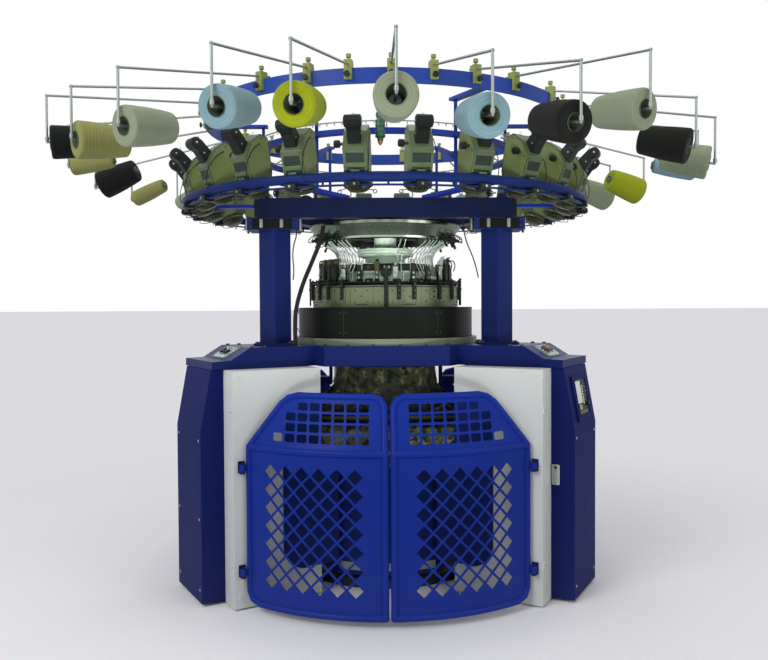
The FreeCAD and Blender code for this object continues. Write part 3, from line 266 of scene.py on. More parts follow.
    def build(self, name, body, mats, replaces=(), angle=32):
        mesh = bpy.data.meshes.new(name)
        mesh.from_pydata([tuple(v) for v in self.verts], [], self.faces)
        for m in mats:
            mesh.materials.append(m)
        mesh.polygons.foreach_set("material_index", self.mats)
        mesh.polygons.foreach_set("use_smooth", [True] * len(self.faces))
        if any(u for u in self.uvs):
            layer = mesh.uv_layers.new(name="run")
            flat = []
            for face, uv in zip(self.faces, self.uvs):
                flat += [c for p in (uv or [(0, 0)] * len(face)) for c in p]
            layer.data.foreach_set("uv", flat)
        mesh.validate()
        mesh.update()
        mesh.set_sharp_from_angle(angle=math.radians(angle))
        obj = in_scene(name, mesh)
        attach(obj, body)
        if replaces:
            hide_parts(*replaces)
        return obj


def lengths_along(points):
    """How far each point of an outline lies along it."""
    run = [0.0]
    for a, b in zip(points, points[1:]):
        run.append(run[-1] + math.hypot(b[0] - a[0], b[1] - a[1]))
    return run


# ---- materials ----------------------------------------------------------------------
class Paint:
    """Builds a procedural material node by node."""

    def __init__(self, name):
        self.mat = bpy.data.materials.new(name)
        self.mat.use_nodes = True
        self.tree = self.mat.node_tree
        self.tree.nodes.clear()
        self.out = self.tree.nodes.new("ShaderNodeOutputMaterial")
        self.bsdf = self.tree.nodes.new("ShaderNodeBsdfPrincipled")
        self.tree.links.new(self.bsdf.outputs[0], self.out.inputs[0])
        self.coord = self.tree.nodes.new("ShaderNodeTexCoord")

    def put(self, kind, **values):
        """Adds a node. _name sets a property, i0 feeds the first socket, and Name the socket of that name."""
        node = self.tree.nodes.new(kind)
        for key, value in values.items():
            if key.startswith("_"):
                setattr(node, key[1:], value)
                continue
            socket = int(key[1:]) if key[0] == "i" and key[1:].isdigit() else key.replace("_", " ")
            self.feed(node.inputs[socket], value)
        return node

    def feed(self, socket, value):
        if isinstance(value, bpy.types.NodeSocket):
            self.tree.links.new(value, socket)
        else:
            socket.default_value = value

    def math(self, op, a, b=0.5):
        return self.put("ShaderNodeMath", _operation=op, i0=a, i1=b).outputs[0]

    def times(self, a, b):
        return self.math("MULTIPLY", a, b)

    def plus(self, a, b):
        return self.math("ADD", a, b)

    def sine(self, a):
        return self.math("SINE", a, 0.0)

    def split(self, vector):
        """The three parts of a vector."""
        return self.put("ShaderNodeSeparateXYZ", i0=vector).outputs

    def noise(self, scale, detail=3.0, rough=0.5, vector=None):
        node = self.put("ShaderNodeTexNoise", Scale=1.0, Detail=detail, Roughness=rough)
        if vector is None:
            scale = scale if isinstance(scale, tuple) else (scale, scale, scale)
            vector = self.put("ShaderNodeMapping", i0=self.coord.outputs["Object"], i3=scale).outputs[0]
        self.feed(node.inputs["Vector"], vector)
        return node.outputs["Fac"]

    def ramp(self, fac, stops):
        node = self.tree.nodes.new("ShaderNodeValToRGB")
        while len(node.color_ramp.elements) < len(stops):
            node.color_ramp.elements.new(0.5)
        for element, (position, colour) in zip(node.color_ramp.elements, stops):
            element.position = position
            element.color = tuple(colour) + (1,)
        self.feed(node.inputs[0], fac)
        return node.outputs[0]

    def between(self, fac, low, high, start=0.0, end=1.0):
        return self.put("ShaderNodeMapRange", i0=fac, i1=start, i2=end, i3=low, i4=high).outputs[0]

    def mix(self, fac, a, b):
        node = self.tree.nodes.new("ShaderNodeMix")
        node.data_type = "RGBA"
        self.feed(node.inputs[0], fac)
        for socket, colour in ((6, a), (7, b)):
            self.feed(node.inputs[socket], tuple(colour) + (1,) if isinstance(colour, tuple) else colour)
        return node.outputs[2]

    def cloudy(self, cloud, base, var, low=0.1, high=0.9):
        """A colour that drifts with a cloud, lighter and darker by a share."""
        return self.mix(self.between(cloud, low, high), shade(base, 1 - var), shade(base, 1 + var))

    def specked(self, fac, limit, weight, colour, speck):
        """A colour with specks where the noise passes the limit."""
        return self.mix(self.times(self.math("GREATER_THAN", fac, limit), weight), colour, speck)

    def bump(self, height, strength, distance, normal=None):
        node = self.put("ShaderNodeBump", Strength=strength, Distance=distance, Height=height)
        if normal is not None:
            self.feed(node.inputs["Normal"], normal)
        return node.outputs[0]

    def finish(self, colour, rough, normal, metallic=0.0, **sockets):
        inputs = self.bsdf.inputs
        self.feed(inputs["Base Color"], colour)
        self.feed(inputs["Roughness"], rough)
        self.feed(inputs["Normal"], normal)
        inputs["Metallic"].default_value = metallic
        for key, value in sockets.items():
            inputs[key.replace("_", " ")].default_value = value
        return self.mat


def shade(colour, factor):
    return tuple(max(0.0, min(1.0, c * factor)) for c in colour)


DUST = (0.42, 0.42, 0.42)
LINT = (0.42, 0.43, 0.38)
DUST_HEIGHT = 0.35
FINE_BUMP = 0.0002


def painted(name, base, rough=0.36, peel=0.25, dust=0.0, var=0.10, gloss=0.10):
    """Sprayed enamel: faint orange peel, cloudy gloss, fine scratches and dust towards the floor."""
    p = Paint(name)
    cloud = p.noise(3.1, 4, 0.6)
    fine = p.noise(38, 3, 0.55)
    scratch = p.noise((6, 260, 90), 2, 0.7)
    worn = shade(base, 1.9 if max(base) < 0.5 else 0.8)
    colour = p.specked(scratch, 0.735, 0.22, p.cloudy(cloud, base, var, 0.15, 0.85), worn)
    if dust:
        z = p.split(p.coord.outputs["Object"])[2]
        low = p.between(z, dust, 0.0, 0.0, DUST_HEIGHT)
        colour = p.mix(p.times(low, p.between(fine, 0.3, 1.3)), colour, DUST)
    mottle = p.plus(p.times(cloud, 0.6), p.times(fine, 0.4))
    rough_map = p.between(mottle, rough - 0.09, rough + 0.12)
    normal = p.bump(p.noise(420, 2, 0.5), peel, FINE_BUMP)
    normal = p.bump(scratch, 0.06, FINE_BUMP, normal)
    return p.finish(colour, rough_map, normal, Specular_IOR_Level=gloss)


def metal(name, base, rough=0.3, grain=(40, 40, 900), var=0.12, metallic=1.0, round_z=False):
    """Worked steel: fine tool lines, turned or straight, oily clouds and a few darker specks."""
    p = Paint(name)
    if round_z:
        x, y, z = p.split(p.coord.outputs["Object"])
        radius = p.math("POWER", p.plus(p.times(x, x), p.times(y, y)), 0.5)
        spread = p.put("ShaderNodeCombineXYZ", i0=p.times(radius, 900.0), i1=p.times(z, 900.0), i2=0.0)
        lines = p.noise(1, 2, 0.6, spread.outputs[0])
    else:
        lines = p.noise(grain, 2, 0.6)
    cloud = p.noise(9, 4, 0.6)
    speck = p.noise(130, 2, 0.5)
    colour = p.specked(speck, 0.70, 0.25, p.cloudy(cloud, base, var), shade(base, 0.45))
    mottle = p.plus(p.times(lines, 0.5), p.times(cloud, 0.5))
    rough_map = p.between(mottle, rough - 0.1, rough + 0.14)
    return p.finish(colour, rough_map, p.bump(lines, 0.12, FINE_BUMP), metallic)


def plastic(name, base, rough=0.45, grain=0.3, var=0.12, dirt=0.25, coat=0.0):
    """Moulded plastic: fine spark-eroded grain, slight colour drift and lint in the grain."""
    p = Paint(name)
    cloud = p.noise(14, 4, 0.6)
    fine = p.noise(900, 2, 0.5)
    lint = p.noise((300, 300, 60), 3, 0.75)
    colour = p.specked(lint, 0.68, dirt, p.cloudy(cloud, base, var), LINT)
    rough_map = p.between(cloud, rough - 0.08, rough + 0.12)
    normal = p.bump(fine, grain, FINE_BUMP)
    return p.finish(colour, rough_map, normal, Coat_Weight=coat, Coat_Roughness=0.1, Specular_IOR_Level=0.22)


def run_of_uv(p):
    """How far round and how far along a wound or knitted surface a point lies."""
    return p.split(p.put("ShaderNodeUVMap", _uv_map="run").outputs[0])[:2]


def yarn(name, base, ridge=0.9, sheen=0.25):
    """Wound yarn on a cone: crossing helices of thread, with the bands that the winder leaves."""
    threads, rings, lean = 340.0, 85.0, 2.0
    p = Paint(name)
    u, v = run_of_uv(p)
    wobble = p.times(p.noise(60, 2, 0.5), 5.0)
    waves = []
    for side in (lean, -lean):
        phase = p.plus(p.times(v, FULL_TURN * threads), p.times(u, FULL_TURN * side))
        waves.append(p.between(p.sine(p.plus(phase, wobble)), 0.0, 1.0))
    cross = p.math("MAXIMUM", waves[0], waves[1])
    fuzz = p.noise(1500, 3, 0.7)
    strip = p.put("ShaderNodeCombineXYZ", i0=0.0, i1=p.times(v, 60.0), i2=0.0).outputs[0]
    bands = p.noise(1, 2, 0.5, strip)
    height = p.plus(p.times(cross, 0.7), p.times(fuzz, 0.3))
    colour = p.mix(p.between(height, 0.0, 1.0), shade(base, 0.62), shade(base, 1.12))
    colour = p.mix(p.times(bands, 0.30), colour, shade(base, 0.7))
    ring = p.between(p.sine(p.times(v, FULL_TURN * rings)), 0.0, 1.0)
    colour = p.mix(p.times(ring, 0.26), colour, shade(base, 0.5))
    normal = p.bump(height, ridge, 0.0012)
    return p.finish(colour, 0.85, normal, Sheen_Weight=sheen, Sheen_Roughness=0.5, Specular_IOR_Level=sheen)


def knit(name, dark, mid, light):
    """Fine knitted jersey in a mottled print: columns of loops over blotches of three colours."""
    wales, courses = 420.0, 500.0
    p = Paint(name)
    u, v = run_of_uv(p)
    colour = p.ramp(p.noise(19, 3, 0.62), [(0.40, dark), (0.46, mid), (0.56, mid), (0.61, light)])
    colour = p.mix(p.math("GREATER_THAN", p.noise(29, 3, 0.6), 0.57), colour, dark)
    wale = p.sine(p.times(u, FULL_TURN * wales))
    course = p.sine(p.plus(p.times(v, FULL_TURN * courses), p.times(wale, 1.2)))
    height = p.between(p.plus(p.times(wale, 0.3), p.times(course, 0.3)), 0.5, 1.0)
    colour = p.mix(p.between(height, 0.0, 0.6), colour, dark)
    return p.finish(colour, 0.9, p.bump(height, 0.6, 0.0008), Sheen_Weight=0.2, Sheen_Roughness=0.6)


DEEP_BLUE = painted("deep_blue_enamel", (0.0070, 0.0125, 0.090), 0.46, 0.3, dust=0.02, gloss=0.02)
# Painted shade: a darker copy of the gate's blue, for the take-down guard and the plates on the side covers.
SHADED_GUARD_BLUE = painted("guard_blue_powder_painted_shade", (0.0080, 0.020, 0.125), 0.42, 0.4, dust=0.02, gloss=0.06)
COLUMN_BLUE = painted("column_blue_enamel", (0.0085, 0.016, 0.086), 0.40, 0.3, gloss=0.045)
BED_BLUE = painted("bed_blue_enamel", (0.0050, 0.0125, 0.088), 0.34, 0.3, gloss=0.07)
BEAM_BLUE = painted("beam_blue_enamel", (0.0045, 0.0078, 0.027), 0.36, 0.3, gloss=0.08)
GATE_BLUE = painted("gate_blue_powder", (0.0060, 0.0225, 0.215), 0.36, 0.4, dust=0.02, gloss=0.07)
# Painted light: the creel ring's blue is made lighter, as where light falls on it.
LIT_CREEL_BLUE = painted("creel_blue_powder_painted_light", (0.020, 0.052, 0.27), 0.36, 0.35, gloss=0.12)
# Painted shade: the feeder ring's blue is darkened for its shaded front.
SHADED_FEEDER_BLUE = painted("feeder_ring_blue_powder_painted_shade", (0.0068, 0.0165, 0.082), 0.38, 0.35, gloss=0.05)
RING_BLUE = painted("ring_blue_powder", (0.008, 0.025, 0.21), 0.36, 0.35)
PALE_GREY = painted("pale_grey_powder", (0.52, 0.548, 0.535), 0.42, 0.4, dust=0.12, var=0.04)
GEAR_PAINT = painted("gear_housing_grey_green", (0.14, 0.17, 0.11), 0.36, 0.3, gloss=0.3)
BLACK_PAINT = painted("satin_black", (0.0048, 0.0060, 0.0045), 0.38, 0.35)
BASE_PAINT = painted("base_dark_grey", (0.017, 0.024, 0.032), 0.40, 0.35, dust=0.03, gloss=0.14)
MOTOR_PAINT = painted("motor_grey_blue", (0.10, 0.13, 0.15), 0.4, 0.3, dust=0.1)
CLAMP_PAINT = painted("clamp_yellow_green", (0.23, 0.27, 0.085), 0.4, 0.3, var=0.2)
HEAD_GREEN = painted("pale_green_grey_enamel", (0.24, 0.31, 0.26), 0.35, 0.3, var=0.15, gloss=0.25)
# Pale green-grey paint, made much lighter than the cap's own colour: painted light on the neck in the disc's
# shade.
LIT_NECK_GREEN = painted("cap_green_grey_painted_light", (0.58, 0.74, 0.58), 0.30, 0.2, gloss=0.35)
STEEL = metal("machined_steel", (0.42, 0.45, 0.41), 0.30)
TURNED = metal("turned_steel", (0.40, 0.46, 0.38), 0.26, round_z=True)
CAM_STEEL = metal("cam_steel", (0.125, 0.150, 0.078), 0.36, round_z=True, metallic=0.5)
DISC_STEEL = metal("polished_disc", (0.46, 0.53, 0.42), 0.16, round_z=True)
# Painted shade: the disc's steel is darkened for the bowl under its rim.
SHADED_BOWL_STEEL = metal("disc_bowl_painted_shade", (0.13, 0.18, 0.12), 0.24, round_z=True, metallic=0.8)
CHROME = metal("chromed_rod", (0.42, 0.45, 0.41), 0.18, var=0.06)
ARM_STEEL = metal("creel_arm_steel", (0.26, 0.30, 0.27), 0.30, var=0.08, metallic=0.6)
ZINC = metal("zinc_plate", (0.30, 0.32, 0.30), 0.36)
DARK_STEEL = metal("dark_oiled_steel", (0.07, 0.08, 0.065), 0.4)
CAST = metal("cast_iron", (0.20, 0.20, 0.20), 0.6, (60, 60, 60), 0.2, metallic=0.7)
ANODISED = metal("dark_anodised", (0.055, 0.060, 0.028), 0.38, metallic=0.5)
PLATE = metal("panel_plate", (0.30, 0.38, 0.39), 0.38, (500, 20, 20), 0.05, metallic=0.6)
COPPER = metal("copper_tip", (0.72, 0.36, 0.14), 0.3)
OLIVE = plastic("olive_moulding", (0.060, 0.088, 0.042), 0.42, coat=0.10)
OLIVE_SIDE = plastic("olive_side_plate", (0.115, 0.150, 0.050), 0.42, coat=0.10)
OLIVE_BROWN = plastic("olive_brown_dome", (0.036, 0.038, 0.012), 0.36, coat=0.2)
OLIVE_DARK = plastic("dark_olive_moulding", (0.016, 0.028, 0.022), 0.40)
KEY_OLIVE = plastic("olive_key", (0.16, 0.18, 0.040), 0.36, coat=0.2)
KEY_YELLOW = plastic("yellow_green_key", (0.26, 0.32, 0.040), 0.35, coat=0.2)
KEY_GREEN = plastic("dark_green_key", (0.050, 0.085, 0.040), 0.35, coat=0.2)
BLACK = plastic("black_moulding", (0.0065, 0.0095, 0.0070), 0.42, dirt=0.10)
KNOB = plastic("knob_green_black", (0.010, 0.035, 0.025), 0.3, coat=0.3)
GREEN = plastic("green_button", (0.025, 0.105, 0.040), 0.3, coat=0.4)
RED = plastic("brown_red_button", (0.115, 0.050, 0.028), 0.36, coat=0.2)
AMBER = plastic("amber_lamp", (0.42, 0.09, 0.02), 0.3, coat=0.3)
PALE_PLASTIC = plastic("pale_plastic_part", (0.52, 0.58, 0.48), 0.4, dirt=0.1)
PALE_TUBE = plastic("pale_tube", (0.36, 0.45, 0.38), 0.35, dirt=0.1, coat=0.2)
LENS = plastic("lamp_lens", (0.012, 0.060, 0.030), 0.22, 0.1, coat=0.5)
SCREEN_PALE = plastic("lit_screen", (0.56, 0.60, 0.52), 0.2, 0.05, 0.06, dirt=0.0, coat=0.5)
RUBBER = plastic("rubber", (0.012, 0.012, 0.012), 0.7, 0.4)
PAPER = plastic("cone_paper", (0.10, 0.12, 0.08), 0.7, 0.6)
KNIT = knit("knit_camouflage", (0.022, 0.029, 0.020), (0.135, 0.16, 0.075), (0.52, 0.54, 0.25))
# Painted light: a lighter copy of the knit, for the web and the roll.
KNIT_ROLL_LIT = knit("knit_camouflage_roll_painted_light", (0.055, 0.070, 0.042), (0.42, 0.48, 0.24), (0.90, 0.90, 0.60))
YARNS = {
    "pale_green": yarn("yarn_pale_green", (0.31, 0.37, 0.235), sheen=0.15),
    "pale_blue": yarn("yarn_pale_blue", (0.25, 0.41, 0.46), sheen=0.10),
    "lime": yarn("yarn_lime", (0.36, 0.42, 0.014), sheen=0.08),
    "tan": yarn("yarn_tan", (0.32, 0.33, 0.11), sheen=0.10),
    "charcoal": yarn("yarn_charcoal", (0.013, 0.015, 0.0125), ridge=1.0, sheen=0.06),
}
CAD_PAINTS = (
    (DEEP_BLUE, "leg_left leg_right leg_rear leg_covers cabinet_door control_panel"),
    (COLUMN_BLUE, "columns gate_hinges"),
    (BED_BLUE, "bed_plate"),
    (BEAM_BLUE, "top_frame"),
    (GATE_BLUE, "gate_front_a gate_front_b gate_right_a gate_right_b gate_left_a gate_left_b"),
    (SHADED_GUARD_BLUE, "takedown_frame"),
    (RING_BLUE, "ring_spokes guide_cage"),
    (SHADED_FEEDER_BLUE, "feeder_ring"),
    (LIT_CREEL_BLUE, "creel_ring"),
    (PALE_GREY, "side_covers"),
    (GEAR_PAINT, "gear_housing"),
    (BLACK_PAINT, "band_cover guide_plate"),
    (BASE_PAINT, "base_plate"),
    (MOTOR_PAINT, "drive_motor"),
    (CLAMP_PAINT, "creel_clamps"),
    (CAST, "levelling_feet motor_pulley"),
    (ZINC, "yarn_guide_ring"),
    (DARK_STEEL, "front_roller rear_roller"),
    (STEEL, "ring_gear pinion_shaft"),
    (TURNED, "needle_cylinder dial"),
    (LIT_NECK_GREEN, "dial_cam_cap"),
    (CAM_STEEL, "cam_ring"),
    (DISC_STEEL, "top_disc"),
    (ARM_STEEL, "creel_arms"),
    (CHROME, "cabinet_latch"),
    (OLIVE, "feeder_housings"),
    (BLACK, "feeder_tensioners start_button stop_button"),
    (ANODISED, "feeder_drums"),
    (PLATE, "switch_panels"),
    (RED, "emergency_button"),
    (GREEN, "inch_button"),
    (LENS, "signal_lamp"),
    (RUBBER, "drive_belt cables"),
    (KNIT, "fabric_tube cloth_roll"),
)


def dress(material, name):
    data = NODES[name].data
    data.materials.clear()
    data.materials.append(material)


for material, names in CAD_PAINTS:
    for name in names.split():
        dress(material, name)
for hue, material in YARNS.items():
    dress(material, "cones_" + hue)


# ---- camera, light and stage ----------------------------------------------------------
FOCAL_PIXELS, SHIFT_PIXELS, IMAGE_WIDTH = 789.97, -1.515, 768
SENSOR = 36
EYE_DISTANCE, EYE_HEIGHT = 3.5549, 1.1244
PITCH, ROLL, YAW = (math.radians(a) for a in (1.475, 0.298, 0.818))
FLOOR_HALF = 4000


def set_camera():
    """The camera of the photograph, which looks a little down and is slightly turned and rolled."""
    data = bpy.data.cameras.new("camera")
    data.sensor_fit = "HORIZONTAL"
    data.sensor_width = SENSOR
    data.lens = SENSOR * FOCAL_PIXELS / IMAGE_WIDTH
    data.shift_x = SHIFT_PIXELS / IMAGE_WIDTH
    data.clip_start = 0.05
    data.clip_end = 2.25 * FLOOR_HALF
    right = Vector((1, 0, 0))
    up = Vector((0, math.sin(PITCH), math.cos(PITCH)))
    back = Vector((0, -math.cos(PITCH), math.sin(PITCH)))
    rolled_right = right * math.cos(ROLL) - up * math.sin(ROLL)
    rolled_up = right * math.sin(ROLL) + up * math.cos(ROLL)
    basis = Matrix((rolled_right, rolled_up, back)).transposed().to_4x4()
    camera = in_scene("camera", data)
    camera.matrix_world = Matrix.Rotation(-YAW, 4, "Z") @ place(0, -EYE_DISTANCE, EYE_HEIGHT) @ basis
    bpy.context.scene.camera = camera


def lamp(name, location, target, size, power, spread=180, mirrored=True):
    """A soft box. One that isn't mirrored leaves no highlight on the paint."""
    data = bpy.data.lights.new(name, "AREA")
    data.shape = "RECTANGLE"
    data.size, data.size_y = size
    data.energy = power
    data.spread = math.radians(spread)
    obj = in_scene(name, data)
    obj.visible_glossy = mirrored
    obj.location = location
    obj.rotation_mode = "QUATERNION"
    obj.rotation_quaternion = (Vector(target) - Vector(location)).to_track_quat("-Z", "Y")


def set_world():
    """An even white studio, dimmer as a light than it looks to the camera and in reflections."""
    world = bpy.data.worlds.new("studio")
    bpy.context.scene.world = world
    world.use_nodes = True
    tree = world.node_tree
    tree.nodes.clear()
    sky = tree.nodes.new("ShaderNodeBackground")
    sky.inputs[0].default_value = (1, 1, 1, 1)
    path = tree.nodes.new("ShaderNodeLightPath")
    seen = path.outputs["Is Camera Ray"]
    for name, clamp in (("Is Glossy Ray", False), ("Is Transmission Ray", True)):
        adding = tree.nodes.new("ShaderNodeMath")
        adding.operation = "ADD"
        adding.use_clamp = clamp
        tree.links.new(seen, adding.inputs[0])
        tree.links.new(path.outputs[name], adding.inputs[1])
        seen = adding.outputs[0]
    strength = tree.nodes.new("ShaderNodeMapRange")
    strength.inputs[3].default_value = 0.55
    strength.inputs[4].default_value = 1.0
    ending = tree.nodes.new("ShaderNodeOutputWorld")
    tree.links.new(seen, strength.inputs[0])
    tree.links.new(strength.outputs[0], sky.inputs[1])
    tree.links.new(sky.outputs[0], ending.inputs[0])


def floor_paint():
    """Pale floor with the object's shadow, which turns into an even grey far from it."""
    p = Paint("pale_floor")
    colour = p.mix(p.noise(0.8, 3), (0.76, 0.755, 0.785), (0.79, 0.785, 0.815))
    p.finish(colour, 0.85, p.bump(p.noise(90, 2), 0.05, 0.0005))
    away = p.put("ShaderNodeVectorMath", _operation="LENGTH", i0=p.coord.outputs["Object"]).outputs["Value"]
    far = p.put("ShaderNodeMapRange", _interpolation_type="SMOOTHSTEP",
                i0=away, i1=1.2, i2=3.4, i3=0.0, i4=1.0)
    seen = p.put("ShaderNodeLightPath").outputs["Is Camera Ray"]
    glow = p.put("ShaderNodeEmission", i0=(0.708, 0.701, 0.737, 1), i1=1.0)
    share = p.times(far.outputs[0], seen)
    both = p.put("ShaderNodeMixShader", i0=share, i1=p.bsdf.outputs[0], i2=glow.outputs[0])
    p.tree.links.new(both.outputs[0], p.out.inputs[0])
    return p.mat


def set_floor():
    h = FLOOR_HALF
    mesh = bpy.data.meshes.new("floor")
    mesh.from_pydata([(-h, -h, 0), (h, -h, 0), (h, h, 0), (-h, h, 0)], [], [(0, 1, 2, 3)])
    mesh.materials.append(floor_paint())
    floor = in_scene("floor", mesh)
    floor.location.z = -0.0005


set_camera()
lamp("key", (-3.4, -4.2, 4.2), (0, 0, 0.9), (2.6, 2.6), 165)
lamp("fill", (3.8, -3.6, 2.2), (0, 0, 1.0), (2.6, 2.6), 45)
lamp("top", (0.3, 0.5, 5.2), (0, 0, 1.0), (3.0, 3.0), 70)
lamp("low", (0.0, -3.3, 0.40), (0, 0, 1.62), (1.2, 0.6), 5.0, spread=28, mirrored=False)
set_world()
set_floor()


# ---- creel: yarn cones on their arms ---------------------------------------------------
CREEL_RADIUS, ARM_FOOT, ARM_DROP = 0.78, 1.982, 0.18
CONE_LENGTH, THREAD_PITCH, THREAD_RIDGE = 0.18, 0.0118, 0.00055
LARGE_CONE, SMALL_CONE = (0.065, 0.050), (0.038, 0.031)
# clamp's place, arm's swing and rise, its length in mm, cone's tilt, colour, and 1 for a large cone
CREEL = (
    (1, -1, -8, 600, 4, "pale_green", 1), (12, 0, -13, 600, 12, "pale_blue", 1),
    (24, 0, -13, 600, 14, "charcoal", 1), (37, -3, -6, 600, 8, "pale_green", 1),
    (56, 6, -10, 545, 14, "charcoal", 1), (72, -5, -11, 600, 12, "pale_green", 1),
    (86.5, -1, -8, 600, 10, "pale_blue", 0), (110, -6, -10, 600, 18, "lime", 1),
    (126, -20, -10, 600, 14, "pale_green", 1), (142, 0, -9, 600, 12, "tan", 1),
    (157, 0, -9, 600, 12, "pale_blue", 1), (172, 0, -9, 600, 12, "pale_green", 1),
    (-172, 0, -9, 600, 12, "lime", 1), (-158, 0, -9, 600, 12, "charcoal", 1),
    (-146, 0, -9, 600, 12, "tan", 1), (-133, 20, -10, 600, 18, "pale_green", 0),
    (-119, 22, -12, 600, 20, "tan", 0), (-105, 18, -10, 605, 22, "charcoal", 1),
    (-87, 1, -5, 600, 10, "tan", 0), (-71, 0, -2, 612, 4, "charcoal", 1),
    (-54, 4, -9, 590, 4, "tan", 1), (-36, -4, -10, 600, 8, "pale_green", 1),
    (-21, -2, -9, 600, 12, "pale_blue", 1), (-10, -4, -10, 600, 12, "lime", 1))


def arm_corner(spot, swing, rise, reach):
    """Where a bent arm turns down, from its clamp's place on the creel ring."""
    climb = math.radians(rise)
    way = at(math.cos(climb), spot - 90 + swing, math.sin(climb))
    return at(CREEL_RADIUS, spot - 90, ARM_FOOT) + way * (reach / 1000)


def wound(shape, m, outline, steps=60):
    """Turns (radius, z, share of the ridge) points, with crossing helices of yarn raised on them."""
    verts, faces, uvs = [], [], []
    run = lengths_along(outline)
    n = len(outline)
    for a in around(steps):
        for k, (r, z, share) in enumerate(outline):
            phase = FULL_TURN * run[k] / THREAD_PITCH
            r += THREAD_RIDGE * share * max(math.sin(phase + a), math.sin(phase - a))
            verts.append((r * math.cos(a), r * math.sin(a), z))
    for i in range(steps):
        j = (i + 1) % steps
        for k in range(n - 1):
            faces.append((i * n + k, j * n + k, j * n + k + 1, i * n + k + 1))
            corners = ((i, k), (i + 1, k), (i + 1, k + 1), (i, k + 1))
            uvs.append([(a / steps, run[b]) for a, b in corners])
    shape.add(verts, faces, m, 0, uvs)


def cone_outline(base, nose, length):
    """A wound cone from its bore at the base, round both shoulders, to its bore at the nose."""
    def side(z):
        return base + (nose - base) * z / length
    bends = (0.4, 0.8, 1.2)
    pts = [(0.0292, 0.0012, 0), (0.034, 0.0002, 0.2),
           (base - 0.018, -0.0004, 0.5), (base - 0.009, 0.0004, 0.6)]
    foot = side(0.008) - 0.008
    pts += [(foot + 0.008 * math.sin(a), 0.0085 - 0.008 * math.cos(a), 0.8) for a in bends]
    z = 0.010
    while z < length - 0.010:
        pts.append((side(z) + 0.0030 * math.sin(math.pi * z / length), z, 1))
        z += 0.0031
    top = side(length - 0.007) - 0.007
    pts += [(top + 0.007 * math.cos(a), length - 0.0075 + 0.007 * math.sin(a), 0.8) for a in bends]
    pts += [(top - 0.003, length - 0.0002, 0.4), (0.0205, length - 0.0006, 0.2), (0.0178, length - 0.0016, 0)]
    return pts


def add_cone(shape, number, spot, swing, rise, reach, tilt, large):
    """A wound cone on its paper core, with the yarn's end laid over its nose."""
    base, nose = LARGE_CONE if large else SMALL_CONE
    lift = math.radians(tilt)
    corner = arm_corner(spot, swing, rise, reach)
    inward = Vector((-corner.x, -corner.y, 0)).normalized()
    spindle = inward * math.cos(lift) + Vector((0, 0, math.sin(lift)))
    clear = (base * math.sin(lift) + 0.0085) / math.cos(lift)
    start = corner - Vector((0, 0, ARM_DROP)) + spindle * clear
    m = Matrix.Translation(start) @ along(spindle) @ turn(37 * number)
    wound(shape, m, cone_outline(base, nose, CONE_LENGTH))
    core = [(0.0287, -0.0032), (0.0291, -0.0022), (0.0291, 0.001), (0.0177, 0.1785), (0.0168, 0.1862),
            (0.0160, 0.1868), (0.0152, 0.1855), (0.0158, 0.176), (0.0271, 0.0), (0.0273, -0.0028)]
    shape.band(core, 1, 28, m)
    end = [(nose - 0.006, 0.1798, 1.0), (nose - 0.010, 0.1806, 1.5), (0.022, 0.1812, 2.1),
           (0.0185, 0.184, 2.6), (0.0172, 0.187, 2.9)]
    shape.tube(moved(m, [(r * math.cos(a), r * math.sin(a), z) for r, z, a in end]), 0.0006, 0, 4)


for hue, material in YARNS.items():
    cones = Shape()
    for number, (spot, swing, rise, reach, tilt, colour, large) in enumerate(CREEL):
        if colour == hue:
            add_cone(cones, number, spot, swing, rise, reach, tilt, large)
    cones.build("wound_cones_" + hue, "machine", [material, PAPER], ["cones_" + hue], 50)


# ---- knitted tube: from the cylinder, flat into the nip, and on to the cloth roll -------
NIP_HALF, ROLL_HEIGHT, CLOTH_COLUMNS, COURSE_STEP = 0.345, 0.300, 168, 0.0055
# height, half width, half depth, and how far the folds stand out
TUBE_LEVELS = (
    (0.975, 0.221, 0.221, 0.0), (0.965, 0.221, 0.221, 0.0012), (0.878, 0.221, 0.221, 0.0016),
    (0.835, 0.2245, 0.2085, 0.006), (0.792, 0.231, 0.190, 0.0085), (0.737, 0.288, 0.103, 0.016),
    (0.682, NIP_HALF, 0.0135, 0.007), (0.664, NIP_HALF, 0.0068, 0.001), (0.6527, NIP_HALF, 0.003, 0.0),
    (0.640, NIP_HALF, 0.00045, 0.0), (0.610, NIP_HALF, 0.0009, 0.0))


def tube_level(z):
    """The tube's half width and depth and the depth of its folds, at a height."""
    for a, b in zip(TUBE_LEVELS, TUBE_LEVELS[1:]):
        if z >= b[0]:
            t = (a[0] - z) / (a[0] - b[0])
            return [p + (q - p) * t for p, q in zip(a[1:], b[1:])]
    return TUBE_LEVELS[-1][1:]


def tube_row(z, inner):
    """One course round the tube, on its outer or inner face, with its folds."""
    half_x, half_y, fold = tube_level(z)
    row = []
    for a in around(CLOTH_COLUMNS):
        c, s = math.cos(a), math.sin(a)
        pleat = 0.5 + 0.5 * math.sin(21 * a + 1.7 * math.sin(3 * a + 0.5) + 9 * z)
        sway = 0.5 + 0.5 * math.sin(8 * a - 30 * z + 1.2 * math.sin(5 * a))
        wave = 0.75 * pleat ** 1.4 + 0.25 * sway
        out = Vector((c / half_x, s / max(half_y, 0.01), 0)).normalized()
        shift = fold * wave * min(1.0, abs(s) * 3 + 0.25) - inner * min(0.0007, half_y * 0.5)
        row.append(Vector((half_x * c, half_y * s, z)) + out * shift)
    return row


